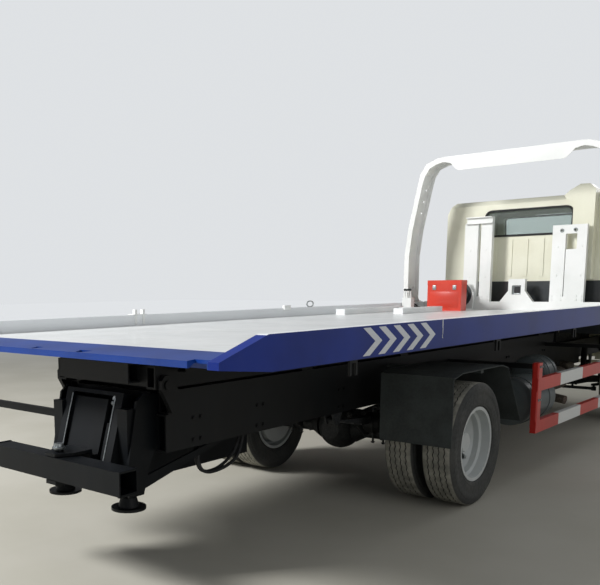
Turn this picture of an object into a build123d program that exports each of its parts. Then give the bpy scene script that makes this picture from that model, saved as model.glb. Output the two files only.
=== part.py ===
"""Flatbed tow truck with a sliding, tilting bed and an underlift at the tail.

Millimetres. The origin is on the ground under the middle of the truck, +Z is up,
the front of the truck faces -Y and its left side is +X. Every function below
makes one node, which is written to its own STEP file in parts/.
"""
import os
from math import cos, hypot, radians, sin, sqrt

from build123d import *

# Whole truck
LENGTH = 8500
TAIL_Y = LENGTH / 2
NOSE_Y = -LENGTH / 2
WHEELBASE = 4450
REAR_AXLE_Y = 1450
FRONT_AXLE_Y = REAR_AXLE_Y - WHEELBASE
SEAT_GAP = 0.3

# Tyres and rims
TYRE_RADIUS = 427.5
TYRE_WIDTH = 225
TYRE_SHOULDER = 14
BEAD_RADIUS = 247
RIM_FLANGE_RADIUS = 259
RIM_WALL = 8
DISC_WALL = 12
HAND_HOLES = 8
HAND_HOLE_RADIUS = 24
HAND_HOLE_CIRCLE = 178
REAR_OUTER_X = 987.5
TWIN_SPACING = 275
FRONT_WHEEL_X = 882.5
HUB_RADIUS = 88
SPINDLE_RADIUS = 40
BEARING_GAP = 0.3

# Ladder frame
RAIL_OUT = 400
RAIL_IN = 330
RAIL_LOW = 660
RAIL_HIGH = 860
RAIL_WALL = 10
FRAME_FRONT_Y = -4080
FRAME_REAR_Y = TAIL_Y - 450

# Tanks, battery box and side guards
TANK_X = -880
TANK_Y = (-250, 400)
TANK_Z = 575
TANK_RADIUS = 195
AIR_TANK_X = -790
AIR_TANK_Y = (-640, -320)
AIR_TANK_Z = 720
AIR_TANK_RADIUS = 165
FUEL_X = (560, 1050)
FUEL_Y = (-1900, -950)
FUEL_Z = (430, 850)
BATTERY_Y = (-650, -80)
GUARD_X = (1098, 1142)
GUARD_POSTS = (-1960, 415)
GUARD_RAILS = ((360, 455), (690, 790))

# Front axle's steering
KINGPIN_X = 690
FRONT_SPINDLE = 30
TIE_SETBACK = 170
TIE_END_X = 665

# Fixed subframe that carries the tilting frame
SUB_HIGH = 985
SUB_WALL = 8
SUB_FRONT_Y = -2200
SUB_REAR_Y = FRAME_REAR_Y - 20

# Tilting frame and its pivot
TILT_OUT = 397
TILT_IN = 330
TILT_LOW = 1000
TILT_HIGH = 1120
TILT_WALL = 10
TILT_FRONT_Y = -2050
TILT_REAR_Y = TAIL_Y - 380
PIVOT_Y = TAIL_Y - 440
PIVOT_Z = 1020
PIVOT_RADIUS = 25
BRACKET_IN = 400
BRACKET_OUT = 428

# Tilt cylinders, one on each side of the middle
CYLINDER_X = 250
BARREL_PIN_Y = 2100
BARREL_PIN_Z = 740
ROD_EYE_Y = 500
ROD_EYE_Z = 1030
BARREL_RADIUS = 45
BARREL_LENGTH = 1330
BARREL_WALL = 14
ROD_RADIUS = 20
EYE_RADIUS = 38
EYE_WIDTH = 44
EYE_PIN_RADIUS = 20
LUG_WALL = 12
LUG_GAP = 3

# Bed
BED_HALF = 1150
BED_FRONT_Y = -2220
DECK_TOP = 1230
DECK_WALL = 6
RAIL_TOP = 1312
RAIL_BOTTOM = 1145
RAIL_THICK = 60
TAIL_PLATE_LENGTH = 250
TAIL_DROP = 19
TAIL_SLOPE_LENGTH = 334
TAIL_RISE_LENGTH = 357
TAIL_LIP_LOW = 1180
RUNNER_IN = 440
RUNNER_OUT = 500
RUNNER_LOW = 1085
RUNNER_REAR_Y = TAIL_Y - 500
CROSSMEMBER_PITCH = 430
CROSSMEMBER_WIDTH = 50
CROSSMEMBER_WALL = 6
SLIDE_PAD_GAP = 0.3
DECK_SEAMS = (-1000, 220, 1440, 2660)
HOOK_PLACES = (-420, 1253, 3165)
HOOK_X = BED_HALF - 30

# Hoop behind the cab
HOOP_REAR_Y = -1740
HOOP_DEPTH = 280
HOOP_WALL = 8
HOOP_TOP = 2905
LEG_LOW = (BED_HALF - 36, 2146)
LEG_HIGH = (BED_HALF - 141, 2649)
HOOP_OUTER = [(BED_HALF, RAIL_TOP), (BED_HALF, 1848), LEG_LOW, LEG_HIGH,
              (BED_HALF - 166, 2748), (BED_HALF - 235, 2849), (BED_HALF - 359, 2897),
              (BED_HALF - 420, HOOP_TOP)]
# Each corner of the rear flange's inner edge: how far in from the side, height
HOOP_REAR_EDGE = [(BED_HALF - inward, z) for inward, z in (
    (55, RAIL_TOP), (55, 1843), (90, 2138), (195, 2640), (218, 2716), (270, 2798),
    (350, 2836), (429, 2853), (509, 2836), (576, 2766), (610, 2748))]
HOOP_HOLES = (2594, 2469, 2339)
HOOP_HOLE_RADIUS = 13
HOOP_SPLICE_X = BED_HALF - 420

# Head beam and posts
HEAD_BEAM_DEPTH = 70
HEAD_BEAM_TOP = 1320
POST_THICK = 60
POST_Y = (BED_FRONT_Y, BED_FRONT_Y + POST_THICK)

# Winch and red box
WINCH_X = 620
WINCH_Z = 1400
WINCH_REAR_Y = -1780
WINCH_FRONT_Y = -2075
DRUM_FLANGE_RADIUS = 145
WINCH_SHAFT_RADIUS = 32
BOX_X = (371, 760)
BOX_Y = (-1685, -1550)
BOX_TOP = 1563

# Cab
CAB_REAR_Y = -2370
CAB_FRONT_Y = -4200
CAB_HALF = 1000
CAB_WALL = 46
SKIN = 14
DOOR_GAP = 8
DOOR_REBATE = 10
FLOOR_LOW = 980
BELT_Z = 1600
CAB_PIVOT_Y = -4110
CAB_PIVOT_Z = 700
GLASS = 6
GLASS_INSET = 12
TUNNEL_HALF = 400
TUNNEL_TOP = 1270
CAB_TOP = 2506
ROOF_CUT = CAB_TOP - 121
DOOR_HEAD = ROOF_CUT - 50
FRONT_CUT = -4040
REAR_CUT = CAB_REAR_Y - CAB_WALL - 4
WHEEL_PLACE = (600, -3640, 1640)
WHEEL_RAKE = 28

# Doors
DOOR_OUTLINE = [(-3020, 1030), (-3020, DOOR_HEAD), (-3700, DOOR_HEAD), (-3985, 1610), (-4010, 1560),
                (-4010, 1240), (-3800, 1030)]
DOOR_WINDOW = [(-3100, 1640), (-3100, DOOR_HEAD - 80), (-3650, DOOR_HEAD - 80),
               (-3890, 1640)]
DOOR_HINGE_X = 985
DOOR_HINGE_Y = -3980
DOOR_HINGES_Z = (1320, 1500)
HINGE_RADIUS = 14
HINGE_HEIGHT = 50
HINGE_PIN_RADIUS = 7

# Underlift
INCLINE = 0.3
INCLINE_Y = TAIL_Y - 310
INCLINE_Z = 800
GUIDE_IN = 170
GUIDE_OUT = 230
GUIDE_DEPTH = 90
GUIDE_WALL = 8
SIDE_PLATE_IN = 300
SIDE_PLATE_WALL = 15
BOOM_HALF = 100
BOOM_LOW = 450
BOOM_HIGH = 650
BOOM_WALL = 9
BOOM_FRONT_Y = TAIL_Y - 1500
BOOM_REAR_Y = TAIL_Y - 210
BOOM_GAP = 3
CROSSBAR_SIZE = 120
CROSSBAR_HALF = 530
CROSSBAR_LOW = 538
CROSSBAR_WALL = 8
CROSSBAR_PIN_RADIUS = 24
GUIDE_LOW = -345
GUIDE_HIGH = 150
SHOE_LOW = -60
SHOE_HIGH = 128
LIFT_ROD_X = -135
LIFT_BARREL_RADIUS = 26
LIFT_ROD_RADIUS = 15
LIFT_BARREL_LOW = -330
LIFT_BARREL_HIGH = 5
TAIL_BAR_END = 900
BRACE_Y = (TAIL_Y - 1130, TAIL_Y - 1030)
# Each corner of a side plate: how far ahead of the tail, height
COLUMN_OUTLINE = ((610, RAIL_LOW + 30), (610, 845), (530, 960), (370, 975), (325, 940),
                  (260, 620), (260, 440), (365, 440), (405, 576), (460, RAIL_LOW + 30))
CROSSBAR_Y = TAIL_Y - CROSSBAR_SIZE / 2

# Support feet
FOOT_X = 265
FOOT_Y = TAIL_Y - 300
FOOT_LOW = 370
FOOT_RADIUS = 92
FOOT_STEM_RADIUS = 56
FOOT_ROD_RADIUS = 22


def box(x, y, z):
    """A block given by its (low, high) pair along each axis."""
    return Pos((x[0] + x[1]) / 2, (y[0] + y[1]) / 2, (z[0] + z[1]) / 2) * Box(
        abs(x[1] - x[0]), abs(y[1] - y[0]), abs(z[1] - z[0]))


def both_sides(piece):
    """The piece and its mirror image on the other side of the truck."""
    return piece + mirror(piece, Plane.YZ)


def side_plate(outline, x):
    """A plate seen from the side: its (y, z) outline between two x values."""
    face = make_face(Polyline(*outline, close=True))
    return extrude(Plane.YZ.offset(x[0]) * face, amount=x[1] - x[0])


def front_plate(outline, y):
    """A plate seen from the front: its (x, z) outline between two y values."""
    face = make_face(Polyline(*outline, close=True))
    return extrude(Plane.XZ.offset(-y[1]) * face, amount=y[1] - y[0])


def plan_plate(outline, z):
    """A plate seen from above: its (x, y) outline between two heights."""
    face = make_face(Polyline(*outline, close=True))
    return extrude(Pos(0, 0, z[0]) * face, amount=z[1] - z[0])


def bar(start, end, radius):
    """A round bar from one point to another."""
    axis = Vector(*end) - Vector(*start)
    place = Plane(origin=start, z_dir=axis)
    return place * Cylinder(radius, axis.length, align=(Align.CENTER, Align.CENTER, Align.MIN))


def cross_bar(x, y, z, radius):
    """A round bar across the truck between two x values."""
    return bar((x[0], y, z), (x[1], y, z), radius)


def square_tube(x, y, z, wall, axis):
    """A rectangular tube with open ends, its length along the named axis."""
    spans = {"x": x, "y": y, "z": z}
    inner = {name: span if name == axis else (span[0] + wall, span[1] - wall)
             for name, span in spans.items()}
    return box(x, y, z) - box(inner["x"], inner["y"], inner["z"])


def turned(profile, x, y, z):
    """A ring turned about a line across the truck, from (along x, radius) points."""
    face = Plane.XZ * make_face(Polyline(*profile, close=True))
    return Pos(x, y, z) * revolve(face, Axis.X)


# Chassis

def chassis_frame():
    """Two channel rails joined by cross members, with the cylinders' lugs."""
    length = (FRAME_FRONT_Y, FRAME_REAR_Y)
    web = box((RAIL_OUT - RAIL_WALL, RAIL_OUT), length, (RAIL_LOW, RAIL_HIGH))
    low = box((RAIL_IN, RAIL_OUT), length, (RAIL_LOW, RAIL_LOW + RAIL_WALL))
    high = box((RAIL_IN, RAIL_OUT), length, (RAIL_HIGH - RAIL_WALL, RAIL_HIGH))
    frame = both_sides(web + low + high)
    inside = RAIL_OUT - RAIL_WALL
    members = [  # middle y, low z, high z
        (FRAME_FRONT_Y + 40, 700, 820), (-1900, 770, 850), (-900, 700, 780), (300, 690, 760),
        (FRAME_REAR_Y - 800, 690, 830), (FRAME_REAR_Y - 240, RAIL_LOW, RAIL_HIGH)]
    for y, z_low, z_high in members:
        frame += square_tube((-inside, inside), (y - 45, y + 45), (z_low, z_high),
                             SUB_WALL, "x")
    frame += box((-inside, inside), (BARREL_PIN_Y - 60, BARREL_PIN_Y + 60),
                 (RAIL_LOW, BARREL_PIN_Z - EYE_RADIUS - 10))
    return frame + barrel_lugs() + cab_hinges()


def barrel_lugs():
    """The plates and pins that the tilt cylinders' barrels turn on."""
    seat = BARREL_PIN_Z - EYE_RADIUS - 10
    outline = [(BARREL_PIN_Y - 55, seat), (BARREL_PIN_Y + 55, seat),
               (BARREL_PIN_Y + 30, BARREL_PIN_Z + 32), (BARREL_PIN_Y - 30, BARREL_PIN_Z + 32)]
    inner = CYLINDER_X - EYE_WIDTH / 2 - LUG_GAP
    outer = CYLINDER_X + EYE_WIDTH / 2 + LUG_GAP
    lugs = side_plate(outline, (inner - LUG_WALL, inner))
    lugs += side_plate(outline, (outer, outer + LUG_WALL))
    lugs += cross_bar((inner - LUG_WALL - 6, outer + LUG_WALL + 6), BARREL_PIN_Y,
                      BARREL_PIN_Z, EYE_PIN_RADIUS)
    return both_sides(lugs)


def cab_hinges():
    """Hinge plates at the front ends of the rails, with the cab's pins."""
    outline = [(FRAME_FRONT_Y + 140, RAIL_LOW + 20), (FRAME_FRONT_Y + 140, RAIL_HIGH - 20),
               (FRAME_FRONT_Y + 20, RAIL_HIGH - 20), (CAB_PIVOT_Y - 22, CAB_PIVOT_Z + 22),
               (CAB_PIVOT_Y - 22, CAB_PIVOT_Z - 22), (FRAME_FRONT_Y + 20, RAIL_LOW + 5)]
    plate = side_plate(outline, (RAIL_OUT, RAIL_OUT + 16))
    pin = cross_bar((RAIL_OUT, RAIL_OUT + 60), CAB_PIVOT_Y, CAB_PIVOT_Z, 14)
    return both_sides(plate + pin)


def subframe():
    """The fixed frame on the rails, with the pivot brackets at its rear end."""
    length = (SUB_FRONT_Y, SUB_REAR_Y)
    rails = both_sides(square_tube((RAIL_IN, RAIL_OUT), length, (RAIL_HIGH, SUB_HIGH),
                                   SUB_WALL, "y"))
    for y in (-2100, -1000, SUB_REAR_Y - 1080, SUB_REAR_Y - 180):
        rails += square_tube((-RAIL_IN, RAIL_IN), (y - 35, y + 35),
                             (RAIL_HIGH + 10, SUB_HIGH - 15), SUB_WALL, "x")
    for y in (-1800, -600, 1200, 2500):
        rails += both_sides(box((RAIL_IN + 5, RAIL_OUT - 5), (y - 60, y + 60),
                                (SUB_HIGH, TILT_LOW - SEAT_GAP)))
    outline = [(PIVOT_Y - 150, RAIL_HIGH + 10), (SUB_REAR_Y, RAIL_HIGH + 10),
               (PIVOT_Y + 45, PIVOT_Z - 20), (PIVOT_Y + 45, PIVOT_Z + 25),
               (PIVOT_Y + 20, PIVOT_Z + 50), (PIVOT_Y - 20, PIVOT_Z + 50),
               (PIVOT_Y - 60, PIVOT_Z)]
    bracket = side_plate(outline, (BRACKET_IN, BRACKET_OUT))
    bore = cross_bar((BRACKET_IN - 5, BRACKET_OUT + 5), PIVOT_Y, PIVOT_Z,
                     PIVOT_RADIUS + BEARING_GAP)
    return rails + both_sides(bracket - bore)


def engine_and_driveline():
    """A plain block for the engine, its gearbox, the radiator and the shaft."""
    block_y = (-3500, -2600)
    engine = box((-300, 300), block_y, (560, 1190))
    for y in (-3300, -2800):
        engine += box((-RAIL_OUT + RAIL_WALL + SEAT_GAP, RAIL_OUT - RAIL_WALL - SEAT_GAP),
                      (y - 40, y + 40), (700, 760))
    gearbox = loft([Plane.XZ.offset(2600) * Pos(0, 760) * Rectangle(400, 330),
                    Plane.XZ.offset(2060) * Pos(0, 735) * Rectangle(260, 210)])
    flange = bar((0, -2060, 720), (0, -2030, 720), 70)
    radiator = box((-290, 290), (-3900, -3840), (640, 1170))
    radiator += box((-RAIL_OUT + RAIL_WALL + SEAT_GAP, RAIL_OUT - RAIL_WALL - SEAT_GAP),
                    (-3900, -3840), (710, 750))
    shaft = bar((0, -2030, 720), (0, REAR_AXLE_Y - 290 - 4, 470), 42)
    return engine + gearbox + flange + shaft + radiator


def axle_pads(y, x, z):
    """Flat seats for the springs on both ends of an axle."""
    return both_sides(box(x, (y - 60, y + 60), z))


def axles():
    """The driven rear axle and the dropped front beam, each with its spring seats."""
    wz = TYRE_RADIUS
    banjo = Pos(0, REAR_AXLE_Y, wz) * Sphere(168)
    banjo &= box((-200, 200), (REAR_AXLE_Y - 120, REAR_AXLE_Y + 150), (wz - 168, wz + 168))
    nose = loft([Plane.XZ.offset(-(REAR_AXLE_Y - 100)) * Pos(0, wz + 10) * Circle(120),
                 Plane.XZ.offset(-(REAR_AXLE_Y - 290)) * Pos(0, wz + 42) * Circle(58)])
    rear = banjo + nose
    tube = [(150, 0), (150, 105), (230, 62), (580, 62), (580, SPINDLE_RADIUS + 12),
            (600, SPINDLE_RADIUS), (945, SPINDLE_RADIUS), (945, 0)]
    rear += both_sides(turned(tube, 0, REAR_AXLE_Y, wz))
    rear += axle_pads(REAR_AXLE_Y, (RAIL_IN, RAIL_OUT), (wz + 50, wz + 80))
    half = [(0, 350), (430, 350), (560, 385), (668, 395), (668, 465), (540, 465),
            (420, 430), (0, 430)]
    outline = half + [(-x, z) for x, z in reversed(half[1:-1])]
    beam = front_plate(outline, (FRONT_AXLE_Y - 38, FRONT_AXLE_Y + 38))
    web = [(0, 364), (425, 364), (520, 391), (520, 448), (425, 416), (0, 416)]
    pocket = web + [(-x, z) for x, z in reversed(web[1:-1])]
    for side in (-1, 1):
        y = sorted((FRONT_AXLE_Y + side * 12, FRONT_AXLE_Y + side * 40))
        beam -= front_plate(pocket, y)
    beam += both_sides(Pos(KINGPIN_X, FRONT_AXLE_Y, 430) * Cylinder(34, 72))
    beam -= both_sides(Pos(KINGPIN_X, FRONT_AXLE_Y, 430) * Cylinder(16 + BEARING_GAP, 90))
    beam += axle_pads(FRONT_AXLE_Y, (RAIL_IN, RAIL_OUT), (425, 448))
    return rear + beam


def leaf_spring(y, pack_low, eye_z, half, leaves):
    """One pack of curved leaves with its hangers, on the left side."""
    thick = 13
    spring = None
    for i in range(leaves):
        reach = half * (1 - 0.16 * i)
        z = pack_low + thick * (leaves - 1 - i)
        rise = (eye_z - pack_low - thick * (leaves - 1)) * (reach / half) ** 2
        low = ThreePointArc((y - reach, z + rise), (y, z), (y + reach, z + rise))
        high = ThreePointArc((y + reach, z + rise + thick), (y, z + thick),
                             (y - reach, z + rise + thick))
        edge = [low, Line(low @ 1, high @ 0), high, Line(high @ 1, low @ 0)]
        leaf = extrude(Plane.YZ.offset(RAIL_IN) * make_face(edge), amount=RAIL_OUT - RAIL_IN)
        spring = leaf if spring is None else spring + leaf
    for side in (-1, 1):
        end = y + side * half
        eye = cross_bar((RAIL_IN, RAIL_OUT), end, eye_z + thick / 2, 22)
        hanger = [(end - 26, eye_z - 18), (end + 26, eye_z - 18),
                  (end + 60, RAIL_LOW - SEAT_GAP), (end - 60, RAIL_LOW - SEAT_GAP)]
        spring += eye + side_plate(hanger, (RAIL_OUT - 8, RAIL_OUT + 4))
        spring += side_plate(hanger, (RAIL_IN - 4, RAIL_IN + 8))
    clamp = box((RAIL_IN - 4, RAIL_OUT + 4), (y - 70, y + 70),
                (pack_low + thick * leaves, pack_low + thick * leaves + 16))
    return spring + clamp


def leaf_springs():
    """Leaf springs over both axles, hung from the rails."""
    rear = leaf_spring(REAR_AXLE_Y, TYRE_RADIUS + 80 + SEAT_GAP, 600, 700, 5)
    front = leaf_spring(FRONT_AXLE_Y, 448 + SEAT_GAP, 560, 600, 4)
    return both_sides(rear) + both_sides(front)


def domed_tank(x, y, z, radius, dome):
    """A round tank along the truck with domed ends and two straps."""
    steps = [radians(15 * i) for i in range(7)]
    rear = [(radius * sin(a), y[1] - dome * (1 - cos(a))) for a in steps]
    front = [(r, y[0] + y[1] - at) for r, at in reversed(rear)]
    profile = Polyline(*rear, *front, close=True)
    plane = Plane(origin=(x, 0, z), x_dir=(0, 0, 1), z_dir=(-1, 0, 0))
    shell = revolve(plane * make_face(profile), axis=Axis((x, 0, z), (0, 1, 0)))
    for at in (y[0] + 0.28 * (y[1] - y[0]), y[0] + 0.72 * (y[1] - y[0])):
        shell += bar((x, at - 22, z), (x, at + 22, z), radius + 5)
    return shell


def tanks():
    """The two round tanks on the right and the square fuel tank on the left."""
    round_tanks = []
    for x, ends, z, radius, dome in ((TANK_X, TANK_Y, TANK_Z, TANK_RADIUS, 60),
                                     (AIR_TANK_X, AIR_TANK_Y, AIR_TANK_Z, AIR_TANK_RADIUS, 45)):
        tank = domed_tank(x, ends, z, radius, dome)
        for at in (0.28, 0.72):
            y = ends[0] + at * (ends[1] - ends[0])
            tank += box((x, -RAIL_OUT - SEAT_GAP), (y - 22, y + 22),
                        (RAIL_LOW + 20, RAIL_LOW + 60))
        round_tanks += tank.solids()
    fuel = box(FUEL_X, FUEL_Y, FUEL_Z)
    fuel = fillet(fuel.edges().filter_by(Axis.Y), radius=60)
    fuel = fillet(fuel.faces().sort_by(Axis.Y)[0].edges(), radius=12)
    for at in (0.25, 0.75):
        y = FUEL_Y[0] + at * (FUEL_Y[1] - FUEL_Y[0])
        fuel += box((RAIL_OUT + SEAT_GAP, FUEL_X[0] + 80), (y - 25, y + 25), (RAIL_LOW + 10, 800))
    fuel += bar((780, FUEL_Y[1] - 160, FUEL_Z[1] - 5), (780, FUEL_Y[1] - 160, FUEL_Z[1] + 40), 45)
    return Compound(children=round_tanks + fuel.solids())


def battery_box():
    """The battery box on the left rail, with its ribbed cover."""
    body = box((480, 1000), BATTERY_Y, (470, 800))
    body = fillet(body.edges().filter_by(Axis.Z), radius=25)
    cover = box((470, 1010), (BATTERY_Y[0] - 10, BATTERY_Y[1] + 10), (800, 850))
    cover = fillet(cover.edges().filter_by(Axis.Z), radius=30)
    for i in range(4):
        x = 560 + 120 * i
        cover += box((x - 15, x + 15), (BATTERY_Y[0] + 30, BATTERY_Y[1] - 30), (850, 862))
    arm = box((RAIL_OUT + SEAT_GAP, 480), (BATTERY_Y[0] + 60, BATTERY_Y[1] - 60), (680, 760))
    return body + cover + arm


def side_guards():
    """Side guards: two posts a side, two rails, and arms to the frame."""
    guard = None
    for y in GUARD_POSTS:
        post = box((GUARD_X[0] - 6, GUARD_X[1] + 2), (y - 45, y + 45), (400, 910))
        post = fillet(post.edges().filter_by(Axis.Z), radius=12)
        arm = box((RAIL_OUT + SEAT_GAP, GUARD_X[0] - 6), (y - 25, y + 25), (862, 900))
        piece = post + arm
        guard = piece if guard is None else guard + piece
    for low, high in GUARD_RAILS:
        guard += box(GUARD_X, (GUARD_POSTS[0] - 120, GUARD_POSTS[-1] + 45), (low, high))
    return both_sides(guard)


def mudguards():
    """Rear mudguards with their arms, and the flaps behind the wheels."""
    sheet = 6
    path = [(720, 500), (1010, 925), (1120, 950), (1790, 950), (1905, 925)]
    lower = [(y, z - sheet) for y, z in reversed(path)]
    guard = side_plate(path + lower, (590, 1112))
    flap = box((594, 1108), (1905, 1913), (470, 930))
    rail = box((RAIL_OUT + SEAT_GAP, 1105), (1440, 1480), (920, 944))
    return both_sides(guard + flap + rail)


def front_bumper():
    """The hollow front bumper, open at the back, with lamp recesses."""
    half, low, high, wall, depth = 1100, 385, 640, 8, 65
    outer = [(-half, NOSE_Y + 95), (-half + 60, NOSE_Y + 45), (-600, NOSE_Y), (600, NOSE_Y),
             (half - 60, NOSE_Y + 45), (half, NOSE_Y + 95)]
    back = [(x, y + depth) for x, y in reversed(outer)]
    shell = plan_plate(outer + back, (low, high))
    inner = [(x * 0.992, y + wall) for x, y in outer]
    hollow = [(x * 0.992, y + depth + wall) for x, y in reversed(outer)]
    shell -= plan_plate(inner + hollow, (low + wall, high - wall))
    for z in (470, 555):
        shell -= box((-420, 420), (NOSE_Y - 5, NOSE_Y + 30), (z - 22, z + 22))
    shell -= both_sides(box((740, 960), (NOSE_Y - 10, NOSE_Y + 150), (450, 585)))
    arms = both_sides(box((RAIL_IN + 8, RAIL_OUT), (NOSE_Y + wall, FRAME_FRONT_Y - SEAT_GAP),
                          (560, 632)) + box((RAIL_IN + 8, RAIL_OUT),
                                            (FRAME_FRONT_Y - SEAT_GAP - 20, FRAME_FRONT_Y + 60),
                                            (560, RAIL_LOW - SEAT_GAP)))
    return shell + arms


def lamps():
    """The two headlamps in the bumper."""
    head = box((740 + SEAT_GAP, 960 - SEAT_GAP), (NOSE_Y + 30, NOSE_Y + 95),
               (450 + SEAT_GAP, 585 - SEAT_GAP))
    head = fillet(head.edges().filter_by(Axis.Y), radius=20)
    return both_sides(head)


def exhaust():
    """The silencer under the right rail with its pipes."""
    z = 560
    body = bar((-600, -1750, z), (-600, -1050, z), 115)
    inlet = pipe_run([(-300 - SEAT_GAP, -2700, 605), (-465, -2700, 605), (-465, -2420, 605),
                      (-600, -2150, z), (-600, -1750, z)], 38)
    outlet = pipe_run([(-600, -1050, z), (-600, -880, z), (-690, -760, 520),
                       (-1000, -700, 480)], 38)
    strap = box((-600, -RAIL_OUT - SEAT_GAP), (-1430, -1380), (RAIL_LOW + 10, RAIL_LOW + 50))
    strap += box((-620, -580), (-1430, -1380), (z + 100, RAIL_LOW + 50))
    return body + inlet + outlet + strap


def pipe_run(points, radius):
    """A bent pipe through the points, with round bends."""
    bends = [90] * (len(points) - 2)
    path = FilletPolyline(*points, radius=bends[0])
    start = Plane(origin=path @ 0, z_dir=path % 0)
    return sweep(start * Circle(radius), path=path)


# Underlift

def incline_plane():
    """The plane of the inclined guides: its z runs up the guides, its y to the rear."""
    down = sqrt(1 + INCLINE ** 2)
    return Plane(origin=(0, INCLINE_Y, INCLINE_Z), x_dir=(1, 0, 0),
                 z_dir=(0, -INCLINE / down, 1 / down))


def incline_box(x, n, s):
    """A block in the guides' own directions: across, to the rear, up the guides."""
    return incline_plane() * box(x, n, s)


def underlift_column():
    """Side plates behind the frame, inclined guides between them, and braces."""
    outline = [(TAIL_Y - ahead, z) for ahead, z in COLUMN_OUTLINE]
    x = (SIDE_PLATE_IN, SIDE_PLATE_IN + SIDE_PLATE_WALL)
    column = side_plate(outline, x)
    half = GUIDE_DEPTH / 2
    span = (GUIDE_LOW, GUIDE_HIGH)
    column += incline_box((GUIDE_OUT - GUIDE_WALL, GUIDE_OUT), (-half, half), span)
    for n in ((-half, -half + GUIDE_WALL), (half - GUIDE_WALL, half)):
        column += incline_box((GUIDE_IN, GUIDE_OUT), n, span)
    for s in (GUIDE_LOW + 20, GUIDE_HIGH - 70):
        column += incline_box((GUIDE_OUT, SIDE_PLATE_IN), (-half, -half + 12), (s, s + 50))
    leg = box((GUIDE_OUT - 4, SIDE_PLATE_IN + 2), (FOOT_Y - 34, FOOT_Y + 34), (480, 900))
    leg -= bar((FOOT_X, FOOT_Y, 470), (FOOT_X, FOOT_Y, 885), FOOT_ROD_RADIUS + 1)
    column += leg
    brace = [(BRACE_Y[0], RAIL_LOW + 2), (BRACE_Y[1], RAIL_LOW + 2), (TAIL_Y - 350, 530),
             (TAIL_Y - 350, 465)]
    column += side_plate(brace, x)
    column += box((SIDE_PLATE_IN, RAIL_IN - SEAT_GAP), BRACE_Y, (RAIL_LOW, RAIL_HIGH))
    column += box((x[1], RAIL_IN - SEAT_GAP), (TAIL_Y - 590, TAIL_Y - 470),
                  (RAIL_LOW, RAIL_HIGH))
    column = both_sides(column)
    top = incline_box((-GUIDE_OUT, GUIDE_OUT), (-half, half), (GUIDE_HIGH, GUIDE_HIGH + 20))
    cross = box((-SIDE_PLATE_IN, SIDE_PLATE_IN), (TAIL_Y - 550, TAIL_Y - 470), (880, 960))
    cross += box((x[1], TAIL_BAR_END), (TAIL_Y - 310, TAIL_Y - 280), (800, 840))
    tie = box((-SIDE_PLATE_IN, SIDE_PLATE_IN), (FRAME_REAR_Y + SEAT_GAP, FRAME_REAR_Y + 14),
              (700, 975))
    return column + top + cross + tie


def lift_rod():
    """The chrome rod that hangs from the column's top."""
    top = GUIDE_HIGH - SEAT_GAP
    rod = bar((LIFT_ROD_X, 0, LIFT_BARREL_LOW + 12), (LIFT_ROD_X, 0, top), LIFT_ROD_RADIUS)
    head = bar((LIFT_ROD_X, 0, top - 19), (LIFT_ROD_X, 0, top), LIFT_ROD_RADIUS + 9)
    return incline_plane() * (rod + head)


def underlift_carriage():
    """The sliding plate with its shoes, the outer boom tube and the lift barrel."""
    half = GUIDE_DEPTH / 2
    plate = incline_box((-GUIDE_IN + 4, GUIDE_IN - 4), (-28, 28), (-300, SHOE_HIGH))
    shoe = incline_box((GUIDE_IN - 5, GUIDE_OUT - GUIDE_WALL - 2),
                       (-half + GUIDE_WALL + 1, half - GUIDE_WALL - 1), (SHOE_LOW, SHOE_HIGH))
    plate += both_sides(shoe)
    plate -= incline_box((LIFT_ROD_X - 32, LIFT_ROD_X + 32), (-18, 60), (LIFT_BARREL_LOW, 160))
    tube_box = ((-BOOM_HALF, BOOM_HALF), (BOOM_FRONT_Y, BOOM_REAR_Y), (BOOM_LOW, BOOM_HIGH))
    plate -= box(tube_box[0], (BOOM_REAR_Y - 340, BOOM_REAR_Y + 260), tube_box[2])
    plate += square_tube(*tube_box, BOOM_WALL, "y")
    barrel = bar((LIFT_ROD_X, 0, LIFT_BARREL_LOW - 5), (LIFT_ROD_X, 0, LIFT_BARREL_HIGH),
                 LIFT_BARREL_RADIUS)
    barrel -= bar((LIFT_ROD_X, 0, LIFT_BARREL_LOW + 8), (LIFT_ROD_X, 0, LIFT_BARREL_HIGH + 5),
                  LIFT_ROD_RADIUS + 1)
    return plate + incline_plane() * barrel


def underlift_boom():
    """The inner boom that slides out, with the head that holds the cross bar."""
    x = BOOM_HALF - BOOM_WALL - BOOM_GAP
    z = (BOOM_LOW + BOOM_WALL + BOOM_GAP, BOOM_HIGH - BOOM_WALL - BOOM_GAP)
    tube = square_tube((-x, x), (BOOM_FRONT_Y + 60, BOOM_REAR_Y + 15), z, 10, "y")
    cap = box((-x, x), (BOOM_REAR_Y, BOOM_REAR_Y + 15), z)
    top_z = CROSSBAR_LOW + CROSSBAR_SIZE + 4
    low_z = CROSSBAR_LOW - 4
    outline = [(-x, BOOM_REAR_Y + 5), (x, BOOM_REAR_Y + 5), (x, CROSSBAR_Y - 30),
               (40, CROSSBAR_Y + 58), (-40, CROSSBAR_Y + 58), (-x, CROSSBAR_Y - 30)]
    head = plan_plate(outline, (low_z - 20, low_z)) + plan_plate(outline, (top_z, top_z + 16))
    web = box((-x, x), (BOOM_REAR_Y, BOOM_REAR_Y + 15), (z[1], top_z + 16))
    pin = bar((0, CROSSBAR_Y, low_z - 38), (0, CROSSBAR_Y, top_z + 30), CROSSBAR_PIN_RADIUS)
    return tube + cap + head + web + pin


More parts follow.
